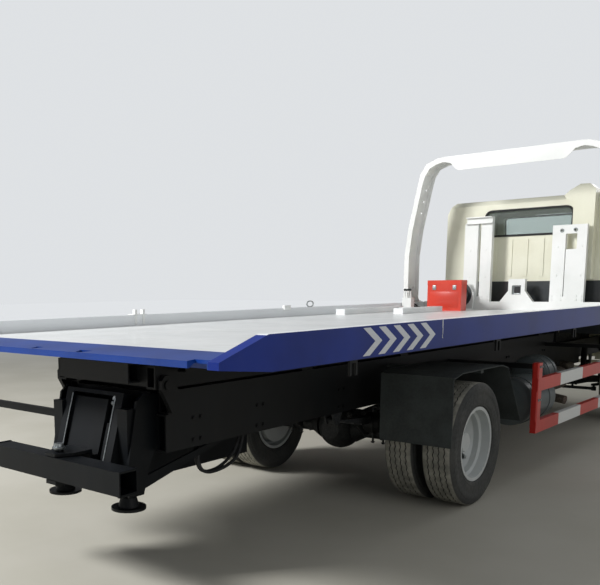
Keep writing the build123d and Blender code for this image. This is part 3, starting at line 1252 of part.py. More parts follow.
def rim(x, outward):
    """One rim with its disc; outward is +1 or -1, the side its disc is dished to."""
    w = TYRE_WIDTH / 2 - 22
    o = outward
    barrel = [(-w - 6, RIM_FLANGE_RADIUS), (-w, RIM_FLANGE_RADIUS), (-w, BEAD_RADIUS - 2),
              (-w + 50, BEAD_RADIUS - 8), (-w + 62, 222), (w - 62, 222), (w - 50, BEAD_RADIUS - 8),
              (w, BEAD_RADIUS - 2), (w, RIM_FLANGE_RADIUS), (w + 6, RIM_FLANGE_RADIUS),
              (w + 4, BEAD_RADIUS - 10), (w - 54, BEAD_RADIUS - 16), (w - 66, 214),
              (-w + 66, 214), (-w + 54, BEAD_RADIUS - 16), (-w - 4, BEAD_RADIUS - 10)]
    disc_x = o * (w + 26)
    disc = [(disc_x - o * DISC_WALL, HUB_RADIUS - 20), (disc_x, HUB_RADIUS - 20),
            (disc_x, 150), (o * (w - 66), 218), (o * (w - 80), 218),
            (disc_x - o * DISC_WALL, 146)]
    wheel = turned(barrel, 0, 0, 0) + turned(disc, 0, 0, 0)
    for i in range(HAND_HOLES):
        angle = radians(360 / HAND_HOLES * i)
        y, z = HAND_HOLE_CIRCLE * cos(angle), HAND_HOLE_CIRCLE * sin(angle)
        wheel -= bar((o * 20, y, z), (o * 140, y, z), HAND_HOLE_RADIUS)
    return Pos(x, 0, 0) * wheel


def rear_rims():
    """The left twin wheels' rims, hub and drum."""
    outer_x = REAR_OUTER_X
    inner_x = REAR_OUTER_X - TWIN_SPACING
    pair = rim(outer_x, -1) + rim(inner_x, 1)
    w = TYRE_WIDTH / 2 - 22
    joint = (inner_x + w + 26 - DISC_WALL, outer_x - w - 26 + DISC_WALL)
    drum = turned([(610, 60), (610, 200), (joint[0], 200), (joint[0], HUB_RADIUS - 18),
                   (joint[1] + 120, HUB_RADIUS - 18),
                   (joint[1] + 120, SPINDLE_RADIUS + BEARING_GAP),
                   (606, SPINDLE_RADIUS + BEARING_GAP), (606, 60)], 0, 0, 0)
    cap = turned([(joint[1] + 120, 0), (joint[1] + 120, HUB_RADIUS - 18),
                  (joint[1] + 128, HUB_RADIUS - 24), (joint[1] + 128, 0)], 0, 0, 0)
    return Pos(0, REAR_AXLE_Y, TYRE_RADIUS) * (pair + drum + cap)


def rear_tyres():
    """The left twin wheels' two tyres."""
    return Pos(0, REAR_AXLE_Y, TYRE_RADIUS) * (tyre(REAR_OUTER_X)
                                              + tyre(REAR_OUTER_X - TWIN_SPACING))


def front_rim():
    """The left front wheel's rim, hub and drum."""
    w = TYRE_WIDTH / 2 - 22
    face = FRONT_WHEEL_X + w + 26
    hub = turned([(FRONT_WHEEL_X - 60, FRONT_SPINDLE + BEARING_GAP), (FRONT_WHEEL_X - 60, 60),
                  (FRONT_WHEEL_X - 80, 60), (FRONT_WHEEL_X - 80, 190), (FRONT_WHEEL_X + 20, 190),
                  (FRONT_WHEEL_X + 20, HUB_RADIUS), (face, HUB_RADIUS), (face, 60), (face + 24, 55),
                  (face + 24, 0), (face + 10, 0), (face + 10, FRONT_SPINDLE + BEARING_GAP)],
                 0, 0, 0)
    return Pos(0, FRONT_AXLE_Y, TYRE_RADIUS) * (rim(FRONT_WHEEL_X, 1) + hub)


def front_tyre():
    """The left front tyre."""
    return Pos(0, FRONT_AXLE_Y, TYRE_RADIUS) * tyre(FRONT_WHEEL_X)


def knuckle():
    """The left knuckle: yoke and kingpin, spindle, backing plate and steering arm."""
    z = TYRE_RADIUS
    pin = Pos(KINGPIN_X, FRONT_AXLE_Y, 430) * Cylinder(16, 130)
    yoke = None
    for low, high in ((368, 390), (470, 492)):
        ear = plan_plate([(KINGPIN_X - 28, FRONT_AXLE_Y - 28), (KINGPIN_X - 28, FRONT_AXLE_Y + 28),
                          (KINGPIN_X + 62, FRONT_AXLE_Y + 34), (KINGPIN_X + 62, FRONT_AXLE_Y - 34)],
                         (low, high))
        yoke = ear if yoke is None else yoke + ear
    yoke += box((KINGPIN_X + 40, KINGPIN_X + 62), (FRONT_AXLE_Y - 34, FRONT_AXLE_Y + 34),
                (368, 492))
    spindle = cross_bar((KINGPIN_X + 50, FRONT_WHEEL_X + 118), FRONT_AXLE_Y, z, FRONT_SPINDLE)
    backing = cross_bar((KINGPIN_X + 62, KINGPIN_X + 68), FRONT_AXLE_Y, z, 185)
    arm = plan_plate([(KINGPIN_X - 10, FRONT_AXLE_Y + 28), (KINGPIN_X + 30, FRONT_AXLE_Y + 28),
                      (TIE_END_X + 24, FRONT_AXLE_Y + TIE_SETBACK + 24),
                      (TIE_END_X - 24, FRONT_AXLE_Y + TIE_SETBACK + 24),
                      (TIE_END_X - 24, FRONT_AXLE_Y + TIE_SETBACK - 10)], (368, 390))
    return pin + yoke + spindle + backing + arm


def tie_rod():
    """The rod that links the two steering arms, below them."""
    y = FRONT_AXLE_Y + TIE_SETBACK
    rod = cross_bar((-TIE_END_X + 20, TIE_END_X - 20), y, 335, 17)
    end = Pos(TIE_END_X, y, 335) * Cylinder(26, 44)
    end += bar((TIE_END_X, y, 340), (TIE_END_X, y, 368 - SEAT_GAP), 12)
    return rod + both_sides(end)


def flip(piece):
    """The piece's mirror image, for the right side."""
    return mirror(piece, Plane.YZ)


def all_nodes():
    """Every node by name."""
    nodes = {
        "chassis_frame": chassis_frame(), "subframe": subframe(),
        "engine_and_driveline": engine_and_driveline(), "axles": axles(),
        "leaf_springs": leaf_springs(), "tanks": tanks(), "battery_box": battery_box(),
        "side_guards": side_guards(), "mudguards": mudguards(), "front_bumper": front_bumper(),
        "lamps": lamps(), "exhaust": exhaust(), "underlift_column": underlift_column(),
        "lift_rod": lift_rod(), "underlift_carriage": underlift_carriage(),
        "underlift_boom": underlift_boom(), "crossbar": crossbar(),
        "support_feet": support_feet(), "tilt_frame": tilt_frame(),
        "tilt_barrels": tilt_barrels(), "tilt_rods": tilt_rods(), "bed_deck": bed_deck(),
        "bed_frame": bed_frame(), "bed_rails": bed_rails(), "tail_plate": tail_plate(),
        "hoop_legs": hoop_legs(), "hoop_crown": hoop_crown(), "head_posts": head_posts(),
        "winch_frame": winch_frame(),
        "winch_drum": winch_drum(), "tool_box": tool_box(), "lift_forks": lift_forks(),
        "seats": seats(), "dashboard": dashboard(), "steering_wheel": steering_wheel(),
        "intake_duct": intake_duct(), "mirrors": mirrors(), "tie_rod": tie_rod(),
        "rear_rims_left": rear_rims(), "rear_tyres_left": rear_tyres(),
        "front_rim_left": front_rim(), "front_tyre_left": front_tyre(),
        "knuckle_left": knuckle()}
    for name in ("rear_rims", "rear_tyres", "front_rim", "front_tyre", "knuckle"):
        nodes[name + "_right"] = flip(nodes[name + "_left"])
    nodes.update(cab_nodes())
    return nodes


def main():
    """Write each node to its own STEP file."""
    os.makedirs("parts", exist_ok=True)
    for name, piece in all_nodes().items():
        export_step(Compound(children=list(piece.solids())), f"parts/{name}.step")


if __name__ == "__main__":
    main()
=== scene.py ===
"""Looks of the flatbed tow truck: finishes, tyres, fittings, studio light and camera.

Metres throughout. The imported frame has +Z up, the truck's front faces -Y and its left
side is +X. Each sub-assembly is a class that holds its sizes and dresses its bodies.
"""

import logging
from dataclasses import dataclass, field
from enum import Enum
from math import cos, hypot, pi, radians, sin
from typing import Iterable, Optional, Sequence

import bmesh
import bpy
from mathutils import Euler, Matrix, Vector


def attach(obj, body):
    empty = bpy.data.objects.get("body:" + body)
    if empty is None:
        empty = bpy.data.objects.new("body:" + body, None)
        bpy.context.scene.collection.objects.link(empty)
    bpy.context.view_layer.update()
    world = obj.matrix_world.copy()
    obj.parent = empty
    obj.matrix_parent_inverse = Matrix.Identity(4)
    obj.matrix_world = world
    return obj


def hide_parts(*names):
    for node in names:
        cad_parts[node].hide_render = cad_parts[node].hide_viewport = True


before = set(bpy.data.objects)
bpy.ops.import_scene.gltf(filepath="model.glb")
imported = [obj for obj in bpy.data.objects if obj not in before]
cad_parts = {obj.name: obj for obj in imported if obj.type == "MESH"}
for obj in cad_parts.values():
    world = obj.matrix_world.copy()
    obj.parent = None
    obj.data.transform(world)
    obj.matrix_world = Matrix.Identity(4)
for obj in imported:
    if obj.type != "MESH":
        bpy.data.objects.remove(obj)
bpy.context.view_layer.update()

log = logging.getLogger("tow_truck")
Point = tuple[float, float, float]
Pair = tuple[float, float]
Place = tuple[Point, Point]  # a fastener's point, and the way that its head looks out
Colour = tuple[float, float, float, float]
Piece = bpy.types.Object
Socket = bpy.types.NodeSocket
Material = bpy.types.Material

SIDES = (("left", 1), ("right", -1))


# Colours and nodes

def linear(colour: str) -> Colour:
    """Turn an sRGB hex colour into the linear colour that Blender's sockets take.

    Args:
        colour: Six hex digits with or without a leading hash.
    Returns:
        Linear red, green and blue, and an alpha of one.
    """
    digits = colour.lstrip("#")
    parts = [int(digits[i:i + 2], 16) / 255 for i in (0, 2, 4)]
    red, green, blue = [p / 12.92 if p <= 0.04045 else ((p + 0.055) / 1.055) ** 2.4 for p in parts]
    return red, green, blue, 1.0


def add_node(tree: bpy.types.NodeTree, kind: str, inputs: Optional[dict] = None,
             **settings: object) -> bpy.types.Node:
    """Add one node with its settings, socket values and incoming links.

    Args:
        tree: The node tree that gets the node.
        kind: The node's type name.
        inputs: By input socket name or index, a plain value or the socket to link from.
        settings: The node's own properties.
    Returns:
        The new node.
    """
    node = tree.nodes.new(kind)
    for name, setting in settings.items():
        setattr(node, name, setting)
    for name, given in (inputs or {}).items():
        if isinstance(given, Socket):
            tree.links.new(given, node.inputs[name])
        else:
            node.inputs[name].default_value = given
    return node


class Mix(Enum):
    """The sockets of a colour Mix node, which its names don't tell apart."""

    FACTOR = 0
    FIRST = 6
    SECOND = 7
    RESULT = 2


@dataclass
class Surface:
    """A material being built: its tree, its shader and its object coordinates."""

    name: str
    material: Material = field(init=False)
    tree: bpy.types.NodeTree = field(init=False)
    shader: bpy.types.Node = field(init=False)
    place: Socket = field(init=False)

    def __post_init__(self) -> None:
        """Start the material with an empty tree, a shader and an output."""
        self.material = bpy.data.materials.new(self.name)
        self.material.use_nodes = True
        self.tree = self.material.node_tree
        self.tree.nodes.clear()
        self.shader = add_node(self.tree, "ShaderNodeBsdfPrincipled")
        add_node(self.tree, "ShaderNodeOutputMaterial", {"Surface": self.shader.outputs[0]})
        self.place = add_node(self.tree, "ShaderNodeTexCoord").outputs["Object"]

    def noise(self, size_mm: float, detail: float = 3.0, rough: float = 0.5,
              stretch: Point = (1, 1, 1)) -> Socket:
        """Fractal noise whose largest patches are about the given size.

        Args:
            size_mm: The patches' size.
            detail: How many finer layers lie over them.
            rough: The finer layers' strength.
            stretch: How much denser the pattern is along each axis.
        Returns:
            The noise, between zero and one.
        """
        place = add_node(self.tree, "ShaderNodeMapping",
                         {"Scale": stretch, "Vector": self.place}).outputs[0]
        node = add_node(self.tree, "ShaderNodeTexNoise",
                        {"Scale": 1000 / size_mm, "Detail": detail, "Roughness": rough,
                         "Vector": place})
        return node.outputs["Fac"]

    def ramp(self, factor: Socket, low: float, high: float, out: Pair = (0.0, 1.0)) -> Socket:
        """Stretch a factor from one range to another, with smooth ends.

        Args:
            factor: The value to stretch.
            low, high: The range that is read.
            out: What the range's two ends become.
        Returns:
            The stretched value.
        """
        node = add_node(self.tree, "ShaderNodeMapRange",
                        {"Value": factor, "From Min": low, "From Max": high,
                         "To Min": out[0], "To Max": out[1]}, interpolation_type="SMOOTHSTEP")
        return node.outputs[0]

    def blend(self, factor: Socket, first: Socket | Colour, second: Socket | Colour) -> Socket:
        """Mix two colours, each given as a socket or as a linear colour.

        Args:
            factor: The second colour's share.
            first: The colour where the factor is zero.
            second: The colour where the factor is one.
        Returns:
            The mixed colour.
        """
        node = add_node(self.tree, "ShaderNodeMix",
                        {Mix.FACTOR.value: factor, Mix.FIRST.value: first,
                         Mix.SECOND.value: second}, data_type="RGBA")
        return node.outputs[Mix.RESULT.value]

    def join(self, operation: str, *given: Socket | float) -> Socket:
        """Join numbers or sockets with one arithmetic operation, in their order."""
        return add_node(self.tree, "ShaderNodeMath", dict(enumerate(given)),
                        operation=operation).outputs[0]

    def axis(self, name: str) -> Socket:
        """One coordinate of the object's own place, in metres."""
        node = add_node(self.tree, "ShaderNodeSeparateXYZ", {"Vector": self.place})
        return node.outputs[name]

    def facing(self, name: str) -> Socket:
        """One component of the surface's normal.

        Args:
            name: X, Y or Z.
        Returns:
            The component, between -1 and 1.
        """
        geometry = add_node(self.tree, "ShaderNodeNewGeometry")
        node = add_node(self.tree, "ShaderNodeSeparateXYZ",
                        {"Vector": geometry.outputs["Normal"]})
        return node.outputs[name]

    def within(self, value: Socket, low: float, high: float) -> Socket:
        """One inside a range of values and zero outside it.

        Args:
            value: The value that is tested.
            low, high: The range.
        Returns:
            The mask.
        """
        return self.join("MULTIPLY", self.join("GREATER_THAN", value, low),
                         self.join("LESS_THAN", value, high))

    def bump(self, height: Socket, depth_mm: float) -> None:
        """Press a height pattern into the surface.

        Args:
            height: The pattern, one where the surface is highest.
            depth_mm: The pattern's real depth.
        """
        node = add_node(self.tree, "ShaderNodeBump",
                        {"Strength": 1.0, "Distance": depth_mm / 1000, "Height": height})
        self.tree.links.new(node.outputs[0], self.shader.inputs["Normal"])

    def set(self, **values: float) -> None:
        """Set the shader's own sockets, spaces written as underscores."""
        for name, value in values.items():
            self.shader.inputs[name.replace("_", " ")].default_value = value

    def colour(self, given: Socket | Colour) -> None:
        """Give the shader its base colour.

        Args:
            given: A socket or a linear colour.
        """
        if isinstance(given, Socket):
            self.tree.links.new(given, self.shader.inputs["Base Color"])
        else:
            self.shader.inputs["Base Color"].default_value = given

    def roughness(self, given: Socket) -> None:
        """Drive the shader's roughness with a pattern."""
        self.tree.links.new(given, self.shader.inputs["Roughness"])


# Finishes, each named for what the real surface is

ROAD_DUST = "#a59c8b"


@dataclass(frozen=True)
class Finish:
    """A material of the truck."""

    name: str

    def build(self) -> Material:
        """Build the material.

        Returns:
            The finished material.
        """
        surface = Surface(self.name)
        self.paint(surface)
        return surface.material

    def paint(self, surface: Surface) -> None:
        """Give the material its looks; each finish has its own."""
        raise NotImplementedError(self.name)


@dataclass(frozen=True)
class SprayedEnamel(Finish):
    """Enamel sprayed on steel: even colour, faint orange peel, dust where it settles."""

    colour: str
    shade: str
    roughness: float = 0.32
    dust: float = 0.25
    peel_mm: float = 4.0
    coat: float = 0.25
    specular: float = 0.5

    def base(self, surface: Surface) -> Socket:
        """The paint's own colour, slightly uneven over broad patches."""
        return surface.blend(surface.ramp(surface.noise(420, 4), 0.35, 0.7),
                             linear(self.colour), linear(self.shade))

    def weather(self, surface: Surface, paint: Socket) -> Socket:
        """Lay road dust over the paint, thickest on faces that look up.

        Args:
            surface: The material being built.
            paint: The clean paint's colour.
        Returns:
            The colour with the dust on it.
        """
        patch = surface.ramp(surface.noise(130, 6, 0.62), 0.42, 0.8)
        upward = surface.ramp(surface.facing("Z"), 0.1, 1.0, (0.35, 1.0))
        amount = surface.join("MULTIPLY", surface.join("MULTIPLY", patch, upward), self.dust)
        surface.roughness(surface.join("MULTIPLY_ADD", amount, 0.5, self.roughness))
        return surface.blend(amount, paint, linear(ROAD_DUST))

    def paint(self, surface: Surface) -> None:
        """Lay the paint, its dust, its gloss and its orange peel.

        Args:
            surface: The material being built.
        """
        surface.colour(self.weather(surface, self.base(surface)))
        surface.set(Coat_Weight=self.coat, Coat_Roughness=0.12, Specular_IOR_Level=self.specular)
        surface.bump(surface.noise(self.peel_mm, 1), 0.02)


@dataclass(frozen=True)
class RailEnamel(SprayedEnamel):
    """The side rails' two coats: blue outside and at the tail, white on top and inside."""

    white: str = "#eef1f3"
    edge: float = 1.1492
    tail: float = 3.93

    def base(self, surface: Surface) -> Socket:
        """Blue on the outer face, underneath and on the tail's slope, white elsewhere.

        Args:
            surface: The material being built.
        Returns:
            The colour.
        """
        blue = super().base(surface)
        outside = surface.join("GREATER_THAN", surface.join("ABSOLUTE", surface.axis("X")),
                               self.edge)
        behind = surface.join("GREATER_THAN", surface.axis("Y"), self.tail)
        below = surface.join("LESS_THAN", surface.facing("Z"), -0.5)
        marked = surface.join("MAXIMUM", surface.join("MAXIMUM", outside, behind), below)
        return surface.blend(marked, linear(self.white), blue)


@dataclass(frozen=True)
class BandedEnamel(SprayedEnamel):
    """Red enamel on the side guards, white bands along their rails, black inner arms."""

    white: str = "#e4e6e4"
    black: str = "#141617"
    inner: float = 1.085
    bands: tuple[Pair, Pair] = ((-0.67, -0.08), (-1.80, -1.21))

    def base(self, surface: Surface) -> Socket:
        """Red with white between the given places, and black on the arms inside.

        Args:
            surface: The material being built.
        Returns:
            The colour.
        """
        red = super().base(surface)
        along = surface.axis("Y")
        first, second = [surface.within(along, *band) for band in self.bands]
        banded = surface.blend(surface.join("MAXIMUM", first, second), red, linear(self.white))
        inside = surface.join("LESS_THAN", surface.join("ABSOLUTE", surface.axis("X")),
                              self.inner)
        return surface.blend(inside, banded, linear(self.black))


@dataclass(frozen=True)
class BackWallEnamel(SprayedEnamel):
    """The cab's rear wall: ivory above, dark grey below the belt."""

    below_belt_grey: str = "#33373a"
    belt: float = 1.545

    def base(self, surface: Surface) -> Socket:
        """Ivory enamel down to the belt, and dark grey under it.

        Args:
            surface: The material being built.
        Returns:
            The colour.
        """
        ivory = super().base(surface)
        # Below the belt the wall is painted dark grey.
        low = surface.join("LESS_THAN", surface.axis("Z"), self.belt)
        return surface.blend(low, ivory, linear(self.below_belt_grey))


@dataclass(frozen=True)
class ChassisPaint(SprayedEnamel):
    """Satin black chassis paint over welded steel, greyed by road film low down."""

    film: str = "#3a3936"

    def weather(self, surface: Surface, paint: Socket) -> Socket:
        """A road film that thickens towards the ground, in streaks.

        Args:
            surface: The material being built.
            paint: The clean paint's colour.
        Returns:
            The colour with the film on it.
        """
        low = surface.ramp(surface.axis("Z"), 0.25, 1.0, (1.0, 0.25))
        patch = surface.ramp(surface.noise(90, 6, 0.65, (1, 1, 0.35)), 0.4, 0.75)
        amount = surface.join("MULTIPLY", surface.join("MULTIPLY", low, patch), self.dust)
        surface.roughness(surface.join("MULTIPLY_ADD", amount, 0.4, self.roughness))
        return surface.blend(amount, paint, linear(self.film))


@dataclass(frozen=True)
class SteelPlate(Finish):
    """Bare or coated steel and iron: grey, metallic, mottled, with fine scratches."""

    colour: str
    shade: str
    roughness: float = 0.42
    metallic: float = 0.9
    grain_mm: float = 14.0

    def paint(self, surface: Surface) -> None:
        """Lay the mottled metal and its scratches.

        Args:
            surface: The material being built.
        """
        mottle = surface.ramp(surface.noise(self.grain_mm, 5, 0.6), 0.35, 0.7)
        surface.colour(surface.blend(mottle, linear(self.colour), linear(self.shade)))
        surface.roughness(surface.ramp(surface.noise(self.grain_mm * 2, 4), 0.3, 0.7,
                                       (self.roughness - 0.08, self.roughness + 0.12)))
        surface.set(Metallic=self.metallic)
        surface.bump(surface.noise(3, 2, 0.5, (1, 8, 1)), 0.02)


@dataclass(frozen=True)
class HardChrome(Finish):
    """Hard chrome on a ground cylinder rod: bright and smooth, faintly clouded."""

    name: str = "hard_chrome_rod"
    colour: str = "#dfe3e4"
    shade: str = "#c3c8ca"

    def paint(self, surface: Surface) -> None:
        """Lay the chrome with its slightly uneven shine.

        Args:
            surface: The material being built.
        """
        surface.colour(surface.blend(surface.ramp(surface.noise(40, 3), 0.3, 0.7),
                                     linear(self.colour), linear(self.shade)))
        surface.roughness(surface.ramp(surface.noise(22, 4), 0.35, 0.75, (0.08, 0.2)))
        surface.set(Metallic=1.0)


@dataclass(frozen=True)
class TyreRubber(Finish):
    """Vulcanised tyre rubber: dark grey, paler with dust on the tread than in its grooves."""

    name: str = "tyre_rubber"
    centre_z: float = 0.4275
    axle_y: float = 1.45
    worn_radius: Pair = (0.420, 0.4245)
    wall: Sequence[str] = ("#2b2d2e", "#67665f")
    crown: Sequence[str] = ("#5a5b57", "#aca99c")

    def paint(self, surface: Surface) -> None:
        """Lay the wall's rubber, and the paler crown by the distance from the axle.

        Args:
            surface: The material being built.
        """
        across = surface.join("SUBTRACT", surface.axis("Y"), self.axle_y)
        up = surface.join("SUBTRACT", surface.axis("Z"), self.centre_z)
        radius = surface.join("SQRT", surface.join("ADD", surface.join("MULTIPLY", across, across),
                                                   surface.join("MULTIPLY", up, up)))
        dusty = surface.ramp(surface.noise(60, 5, 0.6), 0.3, 0.75, (0.25, 0.8))
        side = surface.ramp(surface.noise(200, 5), 0.3, 0.75, (0.05, 0.3))
        surface.colour(surface.blend(
            surface.ramp(radius, *self.worn_radius),
            surface.blend(side, *[linear(colour) for colour in self.wall]),
            surface.blend(dusty, *[linear(colour) for colour in self.crown])))
        surface.roughness(surface.ramp(surface.noise(25, 4), 0.3, 0.7, (0.62, 0.85)))
        surface.bump(surface.noise(5, 3), 0.15)


@dataclass(frozen=True)
class MouldedPolymer(Finish):
    """Plastic or rubber from a grained mould, slightly greyed outdoors."""

    colour: str = "#1d1f20"
    faded: str = "#33363a"
    roughness: float = 0.6

    def paint(self, surface: Surface) -> None:
        """Lay the polymer, its fading and its grain.

        Args:
            surface: The material being built.
        """
        surface.colour(surface.blend(surface.ramp(surface.noise(160, 4), 0.35, 0.7),
                                     linear(self.colour), linear(self.faded)))
        surface.roughness(surface.ramp(surface.noise(12, 3), 0.3, 0.7,
                                       (self.roughness - 0.06, self.roughness + 0.1)))
        surface.bump(surface.noise(2.5, 2), 0.06)


@dataclass(frozen=True)
class SafetyGlass(Finish):
    """Lightly tinted safety glass, dull where a dusty film lies in patches."""

    name: str = "tinted_safety_glass"
    tint: str = "#e2ebe8"

    def paint(self, surface: Surface) -> None:
        """Lay the clear glass and its film.

        Args:
            surface: The material being built.
        """
        surface.colour(linear(self.tint))
        surface.set(Transmission_Weight=0.92, IOR=1.45)
        surface.roughness(surface.ramp(surface.noise(150, 5), 0.5, 0.85, (0.01, 0.12)))


@dataclass(frozen=True)
class LampLens(Finish):
    """Ribbed acrylic lens over a reflector: deep colour with a wet gloss."""

    colour: str
    deep: str
    rib_mm: float = 7.0

    def paint(self, surface: Surface) -> None:
        """Lay the lens and its ribs.

        Args:
            surface: The material being built.
        """
        ribs = add_node(surface.tree, "ShaderNodeTexWave",
                        {"Scale": 1000 / self.rib_mm / 20, "Vector": surface.place},
                        bands_direction="X").outputs["Fac"]
        surface.colour(surface.blend(ribs, linear(self.colour), linear(self.deep)))
        surface.set(Roughness=0.12, Coat_Weight=0.6, Coat_Roughness=0.05)
        surface.bump(ribs, 0.5)


@dataclass(frozen=True)
class WovenSeat(Finish):
    """Woven seat cloth: dark grey threads with a lighter fleck."""

    name: str = "woven_seat_cloth"
    thread_mm: float = 5.0
    threads: Sequence[str] = ("#34383d", "#454a50")
    gap: str = "#24272a"

    def paint(self, surface: Surface) -> None:
        """Lay the weave; its threads are drawn coarse enough to show.

        Args:
            surface: The material being built.
        """
        first, second = self.threads
        weave = add_node(surface.tree, "ShaderNodeTexBrick",
                         {"Scale": 1000 / self.thread_mm / 4, "Color1": linear(first),
                          "Color2": linear(second), "Mortar": linear(self.gap),
                          "Mortar Size": 0.03, "Vector": surface.place})
        surface.colour(weave.outputs["Color"])
        surface.set(Roughness=0.9, Sheen_Weight=0.3)
        surface.bump(weave.outputs["Fac"], -0.4)


@dataclass(frozen=True)
class Reflective(Finish):
    """Reflective film: bright silver-white with a fine honeycomb."""

    colour: str
    shade: str
    cells: float = 260.0

    def paint(self, surface: Surface) -> None:
        """Lay the film and its honeycomb.

        Args:
            surface: The material being built.
        """
        cells = add_node(surface.tree, "ShaderNodeTexVoronoi",
                         {"Scale": self.cells, "Vector": surface.place})
        surface.colour(surface.blend(cells.outputs["Distance"], linear(self.colour),
                                     linear(self.shade)))
        surface.set(Roughness=0.3, Metallic=0.15, Coat_Weight=0.4)


class Finishes:
    """Every material of the truck, built once and found by a plain name."""

    def __init__(self) -> None:
        """Build the materials."""
        self.deck = SprayedEnamel("white_deck_enamel", "#f3f5f5", "#e9ecec",
                                  roughness=0.36, dust=0.16).build()
        self.hoop = SprayedEnamel("white_hoop_enamel", "#f4f5f3", "#e9ebe8",
                                  roughness=0.3, dust=0.12).build()
        self.cab = SprayedEnamel("ivory_cab_enamel", "#eeedda", "#e5e3cd",
                                 roughness=0.28, dust=0.12, coat=0.4).build()
        self.back_wall = BackWallEnamel("ivory_rear_wall_enamel", "#eeedda", "#e5e3cd",
                                        roughness=0.3, dust=0.16, coat=0.3).build()
        self.rail = RailEnamel("blue_rail_enamel", "#082a84", "#062372", roughness=0.34,
                               dust=0.03, coat=0.04, specular=0.28).build()
        self.tail = SprayedEnamel("blue_tail_enamel", "#0d3c90", "#0a327c", roughness=0.34,
                                  dust=0.06, coat=0.08, specular=0.4).build()
        self.guard = BandedEnamel("red_guard_enamel", "#cc2f27", "#bd2b25",
                                  roughness=0.34, dust=0.12).build()
        self.box = SprayedEnamel("red_box_enamel", "#d8402c", "#c93a29",
                                 roughness=0.3, dust=0.15).build()
        self.chassis = ChassisPaint("black_chassis_paint", "#0b0c0d", "#101214",
                                    roughness=0.5, dust=0.2, coat=0.0, specular=0.3).build()
        self.lift = ChassisPaint("black_lift_enamel", "#090c0f", "#0d1115",
                                 roughness=0.45, dust=0.1, coat=0.0, specular=0.2).build()
        self.tank = SprayedEnamel("grey_tank_enamel", "#5d6668", "#525a5c", roughness=0.42,
                                  dust=0.2, coat=0.05, specular=0.35).build()
        self.rim = SprayedEnamel("silver_rim_enamel", "#c7cbca", "#b4b9b9",
                                 roughness=0.4, dust=0.3).build()
        self.winch = ChassisPaint("grey_winch_paint", "#3b3f42", "#303336",
                                  roughness=0.42, dust=0.3).build()
        self.cast = SteelPlate("cast_iron_oiled", "#2c2e2f", "#1f2020",
                               roughness=0.6, metallic=0.3).build()
        self.spring = SteelPlate("rolled_spring_steel", "#37393a", "#27292a",
                                 roughness=0.55, metallic=0.4).build()
        self.zinc = SteelPlate("zinc_plated_steel", "#aeb3b4", "#8e9496", roughness=0.4).build()
        self.muffler = SteelPlate("aluminised_exhaust_steel", "#7b746b", "#5a5148",
                                  roughness=0.55, metallic=0.7).build()
        self.rope = SteelPlate("steel_wire_rope", "#6f7173", "#4a4c4e",
                               roughness=0.45, metallic=0.8, grain_mm=5).build()
        self.chrome = HardChrome().build()
        self.rubber = MouldedPolymer("epdm_rubber_seal", "#141516", "#222426", 0.7).build()
        self.flap = MouldedPolymer("rubber_flap", "#2d3232", "#393f3f", 0.7).build()
        self.plastic = MouldedPolymer("black_polypropylene").build()
        self.trim = MouldedPolymer("grey_dash_plastic", "#4c4f52", "#55585b", 0.7).build()
        self.glass = SafetyGlass().build()
        self.cloth = WovenSeat().build()
        self.amber_lens = LampLens("amber_lamp_lens", "#e08a1c", "#a85a0a").build()
        self.clear_lens = LampLens("clear_lamp_lens", "#e3e6e6", "#b8bdbe").build()
        self.mark = Reflective("silver_reflective_film", "#dfe2e6", "#c9cdd4").build()

    def by_tyre(self, axle_y: float) -> Material:
        """Tyre rubber whose tread pattern is centred on one axle."""
        return TyreRubber(f"tyre_rubber_{'rear' if axle_y > 0 else 'front'}",
                          axle_y=axle_y).build()


# Meshes

def new_object(name: str, data: bpy.types.ID) -> bpy.types.Object:
    """Make an object from its data and link it to the scene.

    Args:
        name: The object's name.
        data: Its mesh, curve, camera or light.
    Returns:
        The object.
    """
    made = bpy.data.objects.new(name, data)
    bpy.context.scene.collection.objects.link(made)
    return made


def finish_mesh(name: str, mesh: bpy.types.Mesh, material: Material, body: str,
                smooth: Optional[float] = 35) -> Piece:
    """Make a piece from a mesh in the row frame and let it ride on a body.

    Args:
        name: The piece's name.
        mesh: Its mesh, with its place in its vertices.
        material: Its finish.
        body: The CAD body that it moves with.
        smooth: Edges flatter than this many degrees are shaded smooth; None for flat.
    Returns:
        The piece.
    """
    piece = new_object(name, mesh)
    if not mesh.materials:
        mesh.materials.append(material)
    if smooth is not None:
        mesh.shade_smooth()
        mesh.set_sharp_from_angle(angle=radians(smooth))
    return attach(piece, body)


